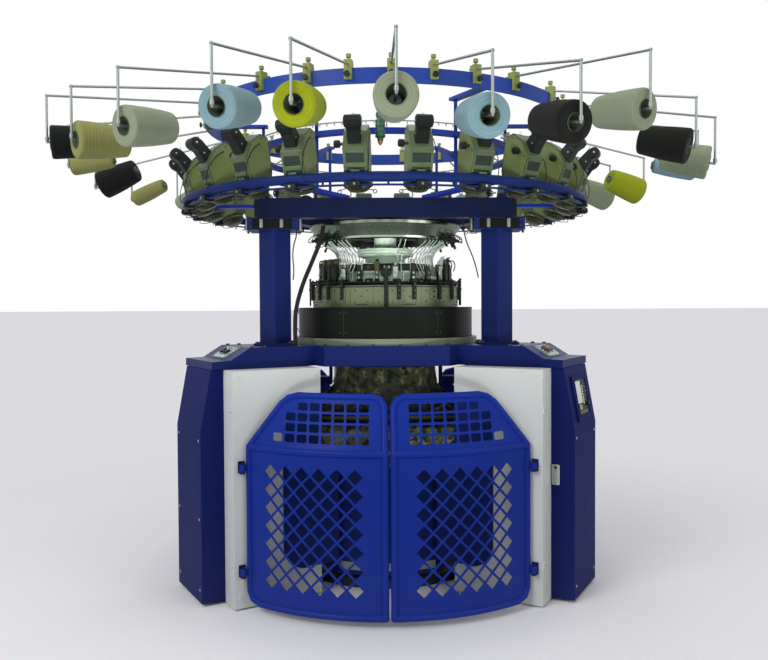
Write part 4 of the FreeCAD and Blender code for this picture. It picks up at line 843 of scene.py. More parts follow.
def knitted_tube():
    heights = [TUBE_LEVELS[0][0] - COURSE_STEP * k for k in range(58)] + [0.6527, 0.646, 0.640, 0.632]
    grid = [tube_row(z, 0) for z in heights] + [tube_row(z, 1) for z in reversed(heights)]
    total = len(grid)
    n = CLOTH_COLUMNS
    faces, uvs = [], []
    for k in range(total):
        below = (k + 1) % total
        for i in range(n):
            j = (i + 1) % n
            faces.append((k * n + i, below * n + i, below * n + j, k * n + j))
            corners = ((i, k), (i, k + 1), (i + 1, k + 1), (i + 1, k))
            uvs.append([(x * 1.39 / n, y * COURSE_STEP) for x, y in corners])
    fabric = Shape()
    fabric.add([p for row in grid for p in row], faces, None, 0, uvs)
    return fabric.build("knitted_tube", "rotor", [KNIT], ["fabric_tube"], 60)


def cloth_web():
    """The flattened tube below the nip, down to the roll and a quarter round it, in the knit's lighter copy,
    which is painted light.
    """
    line = [(0.0, 0.626), (-0.004, 0.600), (-0.020, 0.53), (-0.045, 0.45),
            (-0.072, 0.38), (-0.094, 0.325), (-0.1012, ROLL_HEIGHT)]
    wrap = 0.1018
    line += [(-wrap * math.cos(a), ROLL_HEIGHT - wrap * math.sin(a)) for a in (0.25, 0.5, 0.75, 1.0, 1.25)]
    line = [Vector((0, y, z)) for y, z in line]
    across, last = 90, len(line) - 1
    rows = []
    for k, p in enumerate(line):
        d = (line[min(k + 1, last)] - line[max(k - 1, 0)]).normalized()
        out = Vector((0, -d.z, d.y))
        free = math.sin(math.pi * min(k, 6) / 6)
        edge = 0.344 - 0.006 * free
        faces = []
        for side in (1, -1):
            face = []
            for i in range(across + 1):
                x = -edge + 2 * edge * i / across
                ripple = 0.0012 * math.sin(x * 55 + 0.6 * k) * free
                face.append(p + out * (side * 0.0006 + ripple) + Vector((x, 0, 0)))
            faces.append(face)
        rows.append(faces[0] + faces[1][::-1])
    web = Shape()
    web.loft(rows)
    web.uvs = [[(p.x + 0.4, p.z + 0.2 * p.y) for p in (web.verts[i] for i in f)] for f in web.faces]
    return web.build("cloth_web", "rotor", [KNIT_ROLL_LIT], angle=60)


def cloth_roll():
    """The wound cloth with its layered ends, on its bar with a collar at each end. The cloth is in the knit's
    lighter copy, which is painted light.
    """
    half, layers = 0.350, (0.034, 0.042, 0.050, 0.058, 0.066, 0.074, 0.082, 0.090)
    outline = [(0.0145, -0.3515), (0.024, -0.3522), (0.030, -0.3512)]
    outline += [(r, -half - 0.0006 * math.sin(r * 900)) for r in layers]
    outline += [(0.0965, -0.3485), (0.0995, -0.3455)]
    lengths = [-0.335 + 0.0134 * k for k in range(51)]
    outline += [(0.1002 + 0.0009 * math.sin(x * 70) * math.sin(x * 23), x) for x in lengths]
    outline += [(0.0995, 0.3455), (0.0965, 0.3485)]
    outline += [(r, half + 0.0006 * math.sin(r * 900)) for r in reversed(layers)]
    outline += [(0.030, 0.3512), (0.024, 0.3522), (0.0145, 0.3515)]
    m = place(0, 0, ROLL_HEIGHT) @ FACING_OUT
    roll = Shape()
    roll.revolve(outline, m, 0, 72, caps=False, uv=True)
    bar = [(0.0, -0.387), (0.0125, -0.387), (0.014, -0.3855), (0.014, 0.3855), (0.0125, 0.387), (0.0, 0.387)]
    roll.band(bar, 1, 24, m)
    collar = [(0.0135, -0.0006), (0.0225, -0.0006), (0.0235, 0.0004),
              (0.0235, 0.0062), (0.0225, 0.0072), (0.0135, 0.0072)]
    for x in (-0.3525 - 0.0066, 0.3525):
        roll.band(collar, 2, 32, m @ place(0, 0, x))
    thread = [(0.349, 0.1 * math.cos(a), ROLL_HEIGHT + 0.1 * math.sin(a)) for a in (0.2, 0.5, 0.8)]
    roll.tube(thread, 0.0008, 0, 4)
    roll.build("cloth_roll_wound", "cloth_roll", [KNIT_ROLL_LIT, CHROME, BLACK], ["cloth_roll"], 45)


knitted = knitted_tube()
hung = cloth_web()
cloth_roll()


# ---- cables ---------------------------------------------------------------------------
# routes in millimetres, as in the part's source
BUNDLE_ROUTE = ((-262, -232, 1478), (-268, -238, 1420), (-306, -262, 1330), (-345, -290, 1230),
                (-372, -322, 1130), (-371, -350, 1050), (-370, -352, 980.3))
LEFT_ROUTE = ((-366, -300, 1449.7), (-368, -300, 1425), (-382, -292, 1388),
              (-386, -282, 1340), (-381, -268, 1290), (-386, -266, 1250))
RIGHT_ROUTE = ((318, -300, 1499.7), (318, -300, 1456), (332, -290, 1400),
               (356, -282, 1350), (374, -272, 1300), (384, -266, 1256))
# each strand's distance from the bundle's middle, its angle and its radius
STRANDS = ((0.0050, 0, 0.0040), (0.0050, 72, 0.0040), (0.0052, 144, 0.0038),
           (0.0048, 216, 0.0042), (0.0052, 288, 0.0038), (0.0, 0, 0.0034))
STRAND_TWIST = 7


def cord_line(name, route, radius=0.0):
    """A smooth curve of one open spline through its control points."""
    data = bpy.data.curves.new(name, "CURVE")
    data.dimensions = "3D"
    spline = data.splines.new("NURBS")
    spline.points.add(len(route) - 1)
    for target, p in zip(spline.points, route):
        target.co = (p[0] / 1000, p[1] / 1000, p[2] / 1000, 1)
    spline.order_u = 3
    spline.use_endpoint_u = True
    spline.resolution_u = 14
    data.bevel_depth = radius
    data.bevel_resolution = 4
    data.use_fill_caps = True
    return in_scene(name, data)


def points_of(route):
    """The points of the smooth curve along a route."""
    guide = cord_line("bundle_line", route)
    mesh = bpy.data.meshes.new_from_object(guide)
    points = [v.co.copy() for v in mesh.vertices]
    bpy.data.meshes.remove(mesh)
    bpy.data.objects.remove(guide)
    return points


def cable_bundle(path):
    """Twisted cables along the path, held by ties."""
    stations = []
    normal = None
    walked = 0.0
    for k, p in enumerate(path):
        d = (path[min(k + 1, len(path) - 1)] - path[max(k - 1, 0)]).normalized()
        if normal is None:
            normal = d.orthogonal().normalized()
        else:
            normal = (normal - d * normal.dot(d)).normalized()
            walked += (p - path[k - 1]).length
        stations.append((p, normal, d.cross(normal), d, walked))
    bundle = Shape()
    for reach, angle, radius in STRANDS:
        strand = []
        for p, n, s, d, run in stations:
            a = math.radians(angle) + run * STRAND_TWIST
            strand.append(p + (n * math.cos(a) + s * math.sin(a)) * reach)
        bundle.tube(strand, radius, 0, 10)
    for share in (0.06, 0.22, 0.39, 0.56, 0.73, 0.9):
        p, n, s, d, run = stations[int(share * (len(stations) - 1))]
        m = Matrix.Translation(p) @ along(d)
        tie = [(0.0086, -0.0022), (0.0096, -0.0018), (0.0096, 0.0018), (0.0086, 0.0022)]
        bundle.revolve(tie, m, 1, 20)
        bundle.slab((0.0085, 0.0125), 0.003, (-0.003, 0.003), 1, m, 0.0006)
    return bundle.build("cable_bundle", "machine", [RUBBER, BLACK], ["cables"], 45)


path = points_of(BUNDLE_ROUTE)
cable = cable_bundle(path)
for name, route, length in (("left_wire", LEFT_ROUTE, 0.206), ("right_wire", RIGHT_ROUTE, 0.257)):
    wire = cord_line(name, route, 0.0025)
    wire.data.materials.append(RUBBER)
    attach(wire, "machine")


# ---- feeders: panels, side plates, knobs, bails, tension grips, wheels and yarn hooks --
FEEDER_COUNT, FEEDER_RADIUS, FEEDER_HEIGHT = 24, 0.866, 1.577
FACE_LEAN, FACE_NORMAL = Vector((0.3437, 0, 0.939)), Vector((0.939, 0, -0.3437))
FACE_FOOT, FACE_LENGTH = Vector((-0.026, 0, -0.017)), 0.1193
GRIP_LEAN, GRIP_NORMAL = Vector((0.584, 0, 0.812)), Vector((0.812, 0, -0.584))
SIDE_OUTLINE = [(-0.030, -0.006), (0.008, 0.094), (-0.019, 0.151), (-0.057, 0.180),
                (-0.090, 0.173), (-0.111, 0.062), (-0.105, 0.022)]
BACK_OUTLINES = ([(-0.1095, 0.060), (-0.1135, 0.060), (-0.0925, 0.1745), (-0.0885, 0.1725)],
                 [(-0.1035, 0.022), (-0.1080, 0.0215), (-0.1135, 0.060), (-0.1095, 0.060)],
                 [(-0.030, -0.0055), (-0.031, -0.0090), (-0.1080, 0.0215), (-0.1035, 0.0235)])
WHEEL_LEAN = math.radians(21)
WHEEL_AXIS = Vector((-math.sin(WHEEL_LEAN), 0, -math.cos(WHEEL_LEAN)))


def leaning_face(m, lean, normal, origin):
    """A frame whose X runs across a feeder, whose Y climbs its face and whose Z stands off it."""
    face = Matrix((Vector((0, 1, 0)), lean, normal)).transposed().to_4x4()
    face.translation = origin
    return m @ face


def feeder_panels(shape, m):
    """Ribbed dark inserts in both recesses of the outer face, with two small keys in the lower one."""
    face = leaning_face(m, FACE_LEAN, FACE_NORMAL, FACE_FOOT)
    ribs = 4
    for start, end in ((0.18, 0.45), (0.58, 0.85)):
        low, high = start * FACE_LENGTH + 0.0004, end * FACE_LENGTH - 0.0004
        shape.box((-0.0316, low, -0.0052), (0.0316, high, -0.0030), 0, face, 0.0004)
        for k in range(ribs):
            y = low + (high - low) * (k + 0.5) / ribs
            shape.box((-0.0295, y - 0.0016, -0.0034), (0.0295, y + 0.0016, -0.0012), 0, face, 0.0005)
    key = [(0.0052, -0.0020), (0.0052, 0.0002), (0.0040, 0.0012), (0, 0.0014)]
    for x in (-0.013, 0.013):
        shape.revolve(key, face @ place(x, 0.0305, 0), 1, 14)
    for low, high in ((0.0575, 0.0655), (0.1045, 0.1130)):
        shape.box((-0.0325, low, -0.0006), (0.0325, high, 0.0016), 2, face, 0.0008)
    for x in (-0.034, 0.034):
        for y in (0.010, 0.112):
            shape.socketbolt((x, y, -0.0003), (0, 0, 1), 0.0024, 3, matrix=face)


def on_side(shape, outline, side, low, high, m, chamfer=0.0006):
    """A plate on one side of a part, between two distances from its middle."""
    shape.prism(outline, *sorted((side * low, side * high)), m, 0, chamfer)


def feeder_sides(shape, m):
    """Moulded side plates with screws, the turning knob on one side and a wire bail on the other."""
    inner = [(x * 0.72 - 0.0145, z * 0.72 + 0.026) for x, z in SIDE_OUTLINE]
    for side in (1, -1):
        on_side(shape, SIDE_OUTLINE, side, 0.0396, 0.0422, m)
        on_side(shape, inner, side, 0.0420, 0.0436, m)
        for x, z in ((-0.030, 0.010), (-0.001, 0.096), (-0.060, 0.171), (-0.103, 0.060)):
            shape.socketbolt((x, side * 0.0420, z), (0, side, 0), 0.0026, 1, matrix=m)
    for outline in BACK_OUTLINES:
        shape.prism(outline, -0.0375, 0.0375, m, 3, 0.0006)
    for k in range(6):
        z = 0.070 + 0.0120 * k
        shape.slab((-0.1150, -0.1080 + 0.0016 * k), 0.0300, (z, z + 0.0055), 2, m, 0.0008)
    feeder_knob(shape, m)
    hinge, hook = (-0.050, 0.0432, 0.150), (-0.004, 0.0400, -0.010)
    bail = [hinge, (-0.020, 0.0470, 0.128), (0.012, 0.0490, 0.085),
            (0.022, 0.0490, 0.035), (0.014, 0.0470, 0.000), hook]
    shape.tube(smooth_line(bail, 20), 0.0017, 2, 6, m)
    for point in (hinge, hook):
        shape.ball(point, 0.0034, 2, 8, m)


def feeder_knob(shape, m):
    x, z = -0.024, 0.116
    shape.cylinder((x, -0.0430, z), (x, -0.0560, z), 0.0055, 1, 14, m)
    knob = m @ place(x, -0.0550, z) @ FACING_FRONT
    profile = [(0.0105, 0), (0.0125, 0.0012), (0.0125, 0.0195), (0.0105, 0.0215), (0, 0.0215)]
    shape.revolve(profile, knob, 2, 18)
    for k in range(9):
        shape.slab((0.0120, 0.0134), 0.0014, (0.0030, 0.0185), 2, knob @ turn(40 * k), 0.0004)


def feeder_tension(shape, m):
    """Ribs on the tensioner's leaning face, knurls and end caps on its grip, and the yarn eyelets."""
    face = leaning_face(m, GRIP_LEAN, GRIP_NORMAL, Vector((0.0105, 0, 0.105)))
    for k in range(5):
        y = 0.008 + 0.0080 * k
        shape.box((-0.0185, y, -0.0004), (0.0185, y + 0.0038, 0.0020), 0, face, 0.0007)
    cheek = [(0.004, 0.118), (0.016, 0.118), (0.044, 0.152), (0.036, 0.162), (-0.006, 0.148)]
    for side in (1, -1):
        on_side(shape, cheek, side, 0.0218, 0.0236, m)
        shape.socketbolt((0.018, side * 0.0234, 0.141), (0, side, 0), 0.0030, 1, matrix=m)
    grip = m @ place(0.050, 0, 0.176) @ tip(-90, "X")
    for k in range(20):
        shape.slab((0.0192, 0.0212), 0.0015, (-0.0262, 0.0262), 0, grip @ turn(18 * k), 0.0006)
    cap = [(0.0165, 0.0275), (0.0165, 0.0292), (0.0150, 0.0302),
           (0.0075, 0.0302), (0.0068, 0.0292), (0, 0.0292)]
    nut = [(0.0042, 0.0288), (0.0042, 0.0314), (0.0034, 0.0322), (0, 0.0322)]
    for end in (grip, grip @ tip(180, "X")):
        shape.revolve(cap, end, 0, 20)
        shape.revolve(nut, end, 1, 6)
    for x, z, size in ((-0.060, 0.1885, 0.0055), (0.030, 0.1965, 0.0048)):
        eye = m @ place(x, 0, z + size)
        ring = [(0, size * math.cos(a), size * math.sin(a)) for a in around(14)]
        shape.tube(moved(eye, ring), 0.0013, 2, 6, closed=True)
        shape.cylinder((x, 0, z - 0.004), (x, 0, z + 0.0005), 0.0014, 1, 6, m)


def feeder_wheel(shape, m):
    """Pins and wound yarn on the wheel, a dark rim, and the moulded dome with its screw below. The yarn is in
    the moulding's dark olive, which is painted shade under the feeders.
    """
    axis = m @ place(-0.069, 0, -0.0005) @ along(WHEEL_AXIS)
    upper_rim = [(0.0495, 0.0040), (0.0512, 0.0048), (0.0516, 0.0066), (0.0500, 0.0076)]
    lower_rim = [(0.0500, 0.0180), (0.0520, 0.0188), (0.0524, 0.0206), (0.0505, 0.0226), (0.0470, 0.0236)]
    shape.band(upper_rim, 0, 36, axis)
    r = 0.0502
    # Painted shade: the yarn coils are dark olive for the shade under the feeders.
    for k in range(9):
        z = 0.0086 + 0.0010 * k
        coil = [(r * math.cos(a), r * math.sin(a), z + 0.0005 * math.sin(3 * a + k)) for a in around(30)]
        shape.tube(moved(axis, coil), 0.00055, 2, 4, closed=True)
    shape.band(lower_rim, 0, 36, axis)
    for k in range(16):
        leaf = axis @ turn(22.5 * k)
        rings = []
        for r, z in ((0.0476, 0.0226), (0.0412, 0.0282), (0.0350, 0.0338)):
            ring = [(r, -0.0013, z), (r + 0.0012, -0.0008, z), (r + 0.0012, 0.0008, z), (r, 0.0013, z)]
            rings.append(moved(leaf, ring))
        shape.loft(rings, None, 0)
    dome = [(0.0352, 0.0330), (0.0356, 0.0352), (0.0335, 0.0375), (0.0270, 0.0398),
            (0.0160, 0.0412), (0.0070, 0.0416), (0.0066, 0.0404), (0, 0.0404)]
    shape.band(dome, 1, 32, axis)
    shape.revolve([(0.0046, 0.0400), (0.0046, 0.0424), (0.0036, 0.0434), (0, 0.0434)], axis, 3, 6)


def feeder_hooks(shape, m):
    """Clip on the rail, and a bent yarn hook with an eye on each side below the ring."""
    shape.slab((-0.0205, 0.0205), 0.020, (-0.0375, -0.0165), 0, m, 0.002)
    shape.socketbolt((0.0202, 0, -0.027), (1, 0, 0), 0.0042, 1, matrix=m)
    eye = 0.0062
    for side in (1, -1):
        start = Vector((-0.004, side * 0.016, -0.034))
        steps = ((0, 0, 0), (0.010, 0.022, -0.010), (-0.008, 0.042, -0.010),
                 (-0.030, 0.040, -0.008), (-0.046, 0.046, -0.004))
        wire = smooth_line([start + Vector((x, side * y, z)) for x, y, z in steps], 16)
        end = start + Vector((-0.046, side * 0.046, -0.010))
        for k in range(1, 14):
            wire.append(end + Vector((0, eye * math.sin(0.5 * k) * side, eye * math.cos(0.5 * k))))
        shape.tube(wire, 0.0016, 2, 5, m)


FEEDER_PIECES = (
    (feeder_panels, "feeder_panels", [OLIVE_DARK, KEY_OLIVE, OLIVE, DARK_STEEL], "olive_plastic"),
    (feeder_sides, "feeder_sides", [OLIVE_SIDE, DARK_STEEL, BLACK, OLIVE_DARK], "olive_plastic"),
    (feeder_tension, "feeder_tension_grips", [BLACK, STEEL, PALE_PLASTIC], "black_plastic"),
    (feeder_wheel, "feeder_wheels", [BLACK, OLIVE_BROWN, OLIVE, STEEL], "dark_aluminium"),
    (feeder_hooks, "feeder_hooks", [BLACK, STEEL, DARK_STEEL], "black_plastic"),
)
for make, name, paints, slot in FEEDER_PIECES:
    pieces = Shape()
    for k in range(FEEDER_COUNT):
        make(pieces, turn(7.5 + 15 * k) @ place(FEEDER_RADIUS, 0, FEEDER_HEIGHT))
    pieces.build(name, "machine", paints)


# ---- knitting head --------------------------------------------------------------------
# faces that the small parts sit on: the cam ring's side, the guide plate's top and its posts
CAM_FACE, PLATE_TOP, POST_FACE, POST_TOP = 0.3222, 1.2400, 0.2965, 1.2868


def band_trim():
    """Raised rims, joints and their screws on the dark band cover."""
    band = Shape()
    for z0, z1 in ((1.0080, 1.0150), (1.1270, 1.1340)):
        band.band([(0.3855, z0), (0.3880, z0 + 0.0012), (0.3880, z1 - 0.0012), (0.3855, z1)], 0, 144)
    for k in range(6):
        m = turn(60 * k + 3)
        band.slab((0.3850, 0.3867), 0.0007, (1.0150, 1.1270), 1, m)
        for side in (-0.012, 0.012):
            for z in (1.030, 1.112):
                band.socketbolt((0.3858, side, z), (1, 0, 0), 0.0038, 1, matrix=m)
    band.build("band_trim", "machine", [BLACK_PAINT, DARK_STEEL])


def cam_sectors():
    """Joints, screws, strips and blocks on the cam ring's side, and a fine rim above and below."""
    cams = Shape()
    stud = [(0.0034, 0.0), (0.0034, 0.0012), (0.0026, 0.0018),
            (0.0016, 0.0018), (0.0014, 0.0004), (0, 0.0004)]
    for k in range(20):
        m = turn(-99.6 + 18 * k)
        cams.slab((0.3226, 0.3236), 0.0009, (1.1370, 1.2235), 1, m)
        for angle, z in ((4.2, 1.158), (4.2, 1.203), (9.0, 1.180), (13.8, 1.158), (13.8, 1.203)):
            cams.revolve(stud, m @ turn(angle) @ place(0.3228, 0, z) @ FACING_OUT, 1, 12)
        if k % 3 == 1:
            cams.slab((CAM_FACE, 0.3262), 0.026, (1.1440, 1.1485), 1, m @ turn(9), 0.0006)
        if k % 4 == 2:
            block = m @ turn(11)
            cams.slab((0.3215, 0.3285), 0.017, (1.1660, 1.2120), 0, block, 0.0016)
            for z in (1.178, 1.200):
                cams.hexbolt((0.3284, 0, z), (1, 0, 0), 0.0050, 1, matrix=block)
    cams.band([(0.3225, 1.2165), (0.3245, 1.2175), (0.3245, 1.2215), (0.3225, 1.2225)], 1, 120)
    cams.band([(0.3225, 1.1372), (0.3252, 1.1380), (0.3252, 1.1402), (0.3225, 1.1412)], 0, 120)
    cams.build("cam_sectors", "machine", [CAM_STEEL, DARK_STEEL])


def head_brackets():
    """The tall front bar with its knob, clamping brackets, rods and the rim round the guide plate."""
    brackets = Shape()
    bar = turn(-90.2)
    brackets.slab((CAM_FACE, 0.3345), 0.0085, (1.1365, 1.2640), 0, bar, 0.0015)
    rings = []
    for z, w in ((1.258, 0.012), (1.266, 0.021), (1.276, 0.024), (1.284, 0.019), (1.289, 0.010)):
        outline = ((0.300, -w), (0.340, -w), (0.345, -w * 0.6), (0.345, w * 0.6), (0.340, w), (0.300, w))
        rings.append(moved(bar, [(x, y, z) for x, y in outline]))
    brackets.loft(rings, None, 0)
    knob = [(0.0075, 1.284), (0.0075, 1.296), (0.0060, 1.299), (0, 1.299)]
    brackets.revolve(knob, bar @ place(0.322, 0, 0), 1, 16)
    for azimuth in (-150, -138, -124, -81, -69.3, -47, -30, -8, 12, 38, 60, 82, 104, 127, 150, 172, -167):
        m = turn(azimuth)
        brackets.slab((CAM_FACE, 0.3345), 0.0080, (1.1660, 1.2420), 0, m, 0.0014)
        brackets.slab((0.2950, 0.3400), 0.0100, (1.2380, 1.2490), 0, m, 0.0014)
        for z in (1.180, 1.203, 1.226):
            brackets.hexbolt((0.3343, 0, z), (1, 0, 0), 0.0042, 1, matrix=m)
        brackets.socketbolt((0.3280, 0, 1.2488), (0, 0, 1), 0.0045, 1, matrix=m)
    rod = 0.3360
    for azimuth in (-178, -172, -8, -2, 3, 25, 70, 115, 160):
        m = turn(azimuth)
        brackets.cylinder((rod, 0, 1.1420), (rod, 0, 1.2560), 0.0036, 0, 10, m, 0.0008)
        brackets.slab((CAM_FACE, 0.3410), 0.0070, (1.2080, 1.2150), 0, m, 0.001)
        brackets.hexbolt((rod, 0, 1.2150), (0, 0, 1), 0.0055, 1, matrix=m)
        brackets.ball((rod, 0, 1.2580), 0.0050, 0, 10, m)
    rim = [(0.3005, PLATE_TOP), (0.3320, 1.2405), (0.3335, 1.2380), (0.3320, 1.2355), (CAM_FACE, 1.2352)]
    brackets.band(rim, 0, 144)
    brackets.build("head_brackets", "machine", [BLACK, DARK_STEEL])


def finger_head(fingers, kind, top, m):
    """What a yarn finger carries on its post: a block with a knob, two pins, a ball or a fin."""
    if kind == 0:
        fingers.slab((0.2740, 0.2930), 0.0150, (POST_TOP, top + 0.012), 3, m, 0.002)
        fingers.cylinder((0.2835, 0, top + 0.011), (0.2835, 0, top + 0.024), 0.0050, 1, 12, m, 0.001)
    elif kind == 1:
        for side in (-0.007, 0.007):
            fingers.cylinder((0.2830, side, POST_TOP), (0.2830, side, top + 0.024), 0.0032, 2, 10, m, 0.0006)
        fingers.slab((0.2780, 0.2885), 0.0120, (top + 0.008, top + 0.016), 4, m, 0.001)
    elif kind == 2:
        fingers.slab((0.2760, 0.2900), 0.0110, (POST_TOP, top + 0.004), 0, m, 0.0015)
        fingers.ball((0.2830, 0, top + 0.010), 0.0072, 0, 12, m)
    else:
        fin = [(0.262, top - 0.006), (0.296, top - 0.006), (0.299, top + 0.016),
               (0.284, top + 0.024), (0.266, top + 0.010)]
        fingers.prism(fin, -0.0035, 0.0035, m, 4, 0.0008)
        fingers.socketbolt((0.284, -0.0034, top + 0.008), (0, -1, 0), 0.0034, 1, matrix=m)


def yarn_fingers():
    """Yarn fingers on the guide plate's posts, blocks between them, and the taller stops at the sides."""
    fingers = Shape()
    for number in range(24):
        azimuth = 7.5 + 15 * number
        m = turn(azimuth)
        kind = (number * 5 + number // 3) % 4
        top = 1.290 + 0.007 * ((number * 7) % 5)
        fingers.slab((0.2900, POST_FACE), 0.0095, (1.2398, top + 0.006), (4, 0, 3, 1)[kind], m, 0.0012)
        for z, size in ((1.258, 0.0044), (1.278, 0.0038)):
            fingers.hexbolt((0.2964, 0, z), (1, 0, 0), size, 1, matrix=m)
        wire = [(0.2860, 0.006, top - 0.004), (0.2745, 0.006, top - 0.010),
                (0.2660, 0.004, top - 0.028), (0.2600, 0.002, 1.2500)]
        fingers.tube(moved(m, smooth_line(wire, 9)), 0.0021, 2, 7)
        fingers.box((0.2570, -0.0050, 1.2465), (0.2640, 0.0070, 1.2510), 2, m, 0.001)
        finger_head(fingers, kind, top, m)
        between = turn(azimuth + 7.5)
        fingers.socketbolt((0.2930, 0, PLATE_TOP), (0, 0, 1), 0.0042, 1, matrix=between)
        step = number % 3
        block_top = 1.2462 + 0.0090 * step
        fingers.slab((0.2660, 0.2870), 0.0160, (PLATE_TOP, block_top), (2, 0, 4)[step], between, 0.0016)
        height = 1.2620 + 0.008 * (number % 4)
        fingers.cylinder((0.2765, 0, 1.2440), (0.2765, 0, height), 0.0034, 2, 10, between, 0.0006)
    for azimuth in (-152, -143, -136, -31, -24):
        m = turn(azimuth)
        fingers.slab((0.2840, 0.3060), 0.0100, (PLATE_TOP, 1.3180), 0, m, 0.002)
        fingers.slab((0.2800, 0.3020), 0.0080, (1.3160, 1.3400), 3, m, 0.002)
        wire = [(0.300, 0, 1.330), (0.318, 0.004, 1.334), (0.326, 0.008, 1.312), (0.318, 0.010, 1.290)]
        fingers.tube(moved(m, smooth_line(wire, 9)), 0.0024, 0, 7)
    blade = [(0.2700, 1.300), (0.2760, 1.330), (0.2900, 1.348), (0.3080, 1.352),
             (0.3020, 1.338), (0.2960, 1.318), (0.2980, 1.296)]
    for azimuth in (-33, -22):
        fingers.prism(blade, -0.0120, -0.0095, turn(azimuth), 4, 0.0004)
    paints = [BLACK, STEEL, CHROME, OLIVE_BROWN, HEAD_GREEN]
    fingers.build("yarn_fingers", "machine", paints)


def needle_ring():
    needles = Shape()
    for k in range(240):
        m = turn(1.5 * k)
        needles.slab((0.2490, 0.2508), 0.0004, (1.2340, 1.2425), 0, m)
        needles.slab((0.2490, 0.2516), 0.0006, (1.2425, 1.2436), 0, m)
    needles.build("needles", "rotor", [CHROME])


def cap_trim():
    """On the cap under the disc: a dark band, fine steps, screws, tabs, and blocks with amber inserts."""
    cap = Shape()
    cap.band([(0.2068, 1.2890), (0.2079, 1.2896), (0.2079, 1.3204), (0.2068, 1.3210)], 1, 120)
    for r, z in ((0.1836, 1.2520), (0.2066, 1.2870), (0.1236, 1.3690), (0.1236, 1.3840)):
        step = [(r, z - 0.0016), (r + 0.0012, z - 0.0010), (r + 0.0012, z + 0.0010), (r, z + 0.0016)]
        cap.band(step, 0, 96)
    for k in range(12):
        m = turn(30 * k + 9)
        cap.socketbolt((0.107, 0, 1.3908), (0, 0, 1), 0.0050, 2, matrix=m)
        cap.socketbolt((0.1940, 0, 1.3217), (0, 0, 1), 0.0046, 2, matrix=m)
        cap.slab((0.2072, 0.2092), 0.0060, (1.2960, 1.3140), 2, m, 0.0006)
    for azimuth in (-91.5, -86.5):
        cap.slab((0.2076, 0.2096), 0.0040, (1.2990, 1.3110), 3, turn(azimuth), 0.0005)
    for azimuth in (-128, -104, -66, -42, 20, 70, 120, 170):
        m = turn(azimuth)
        cap.slab((0.0600, 0.1500), 0.0340, (1.4400, 1.4775), 1, m, 0.003)
        for y in (-0.018, 0.018):
            cap.box((0.1496, y - 0.0065, 1.4450), (0.1516, y + 0.0065, 1.4520), 4, m, 0.0006)
    cap.build("cap_trim", "machine", [TURNED, BLACK, DARK_STEEL, PALE_PLASTIC, AMBER])


def yarn_tubes():
    """Pale tubes from the disc's edge in to the cap and out to the needles, only two of them in front."""
    tubes = Shape()
    for k in range(72):
        theta = -180 + 5 * k + 2.5
        if abs(theta) < 34 and k not in (38, 39):
            continue
        m = turn(theta - 90)
        sway = math.sin(k)
        route = [(0.284, 0, 1.4255), (0.262 + 0.004 * math.sin(1.9 * k), 0.003, 1.406),
                 (0.230, 0.006 * sway, 1.384), (0.2135, 0.004, 1.352), (0.2150, 0.0, 1.322),
                 (0.2290, -0.004 * sway, 1.292), (0.2560, 0.0, 1.2640)]
        tubes.tube(moved(m, smooth_line(route, 20)), 0.0021, 0, 6)
        tubes.cylinder((0.284, 0, 1.4180), (0.284, 0, 1.4262), 0.0044, 1, 8, m, 0.0008)
    tubes.build("yarn_tubes", "machine", [PALE_TUBE, BLACK])


def disc_trim():
    """The yarn disc's bead, the sloping bowl below it, its tabs, bushes and screws. The bowl and the tabs are
    in a darkened steel, which is painted shade under the disc's rim.
    """
    disc = Shape()
    disc.band([(0.3352, 1.4815), (0.3372, 1.4822), (0.3372, 1.4908), (0.3352, 1.4915)], 0, 144)
    bowl = [(0.2945, 1.4330), (0.2970, 1.4330), (0.3010, 1.4400), (0.3080, 1.4500), (0.3175, 1.4620),
            (0.3270, 1.4735), (0.3315, 1.4795), (0.2945, 1.4795), (0.2945, 1.4330)]
    disc.band(bowl, 2, 144)
    for k in range(24):
        m = turn(15 * k + 2)
        disc.slab((0.2995, 0.3065), 0.0050, (1.4395, 1.4435), 2, m, 0.001)
        disc.cylinder((0.3235, 0, 1.4780), (0.3235, 0, 1.4700), 0.0034, 0, 12, m, 0.0006)
    for k in range(12):
        disc.socketbolt((0.3150, 0, 1.4918), (0, 0, 1), 0.0045, 1, matrix=turn(30 * k + 9))
    disc.build("disc_trim", "machine", [DISC_STEEL, DARK_STEEL, SHADED_BOWL_STEEL])


def connector_clumps():
    """Dark connectors with their short cable loops under the disc's edge."""
    clumps = Shape()
    loop = [(0.3300, -0.009, 1.424), (0.3440, 0.002, 1.420), (0.3430, 0.020, 1.434),
            (0.3280, 0.030, 1.446), (0.3060, 0.030, 1.450), (0.2950, 0.026, 1.452)]
    for azimuth in (-168, -158, -147, -134, -36, -24, -14, -4, 30, 75, 110, 150):
        m = turn(azimuth)
        clumps.slab((0.2880, 0.3160), 0.0160, (1.4180, 1.4440), 0, m, 0.003)
        clumps.cylinder((0.3150, -0.006, 1.430), (0.3300, -0.009, 1.424), 0.0060, 0, 12, m, 0.001)
        clumps.cylinder((0.3040, 0.008, 1.4190), (0.3120, 0.012, 1.4000), 0.0050, 0, 12, m, 0.001)
        clumps.ball((0.3125, 0.0125, 1.3980), 0.0062, 0, 10, m)
        clumps.socketbolt((0.3020, 0, 1.4438), (0, 0, 1), 0.0040, 1, matrix=m)
        clumps.tube(smooth_line(loop, 16), 0.0019, 0, 6, m)
    clumps.build("connector_clumps", "machine", [BLACK, DARK_STEEL])


band_trim()
cam_sectors()
head_brackets()
yarn_fingers()
needle_ring()
cap_trim()
yarn_tubes()
disc_trim()
connector_clumps()


# ---- stand, guards, switches, door, take-down, motor and top --------------------------
LEG_END, BED_TOP, SIDE_FACE = 0.9038, 0.9799, 0.2550
END_SCREW = [(0.0056, -0.0004), (0.0056, 0.0010), (0.0040, 0.0024), (0, 0.0026)]


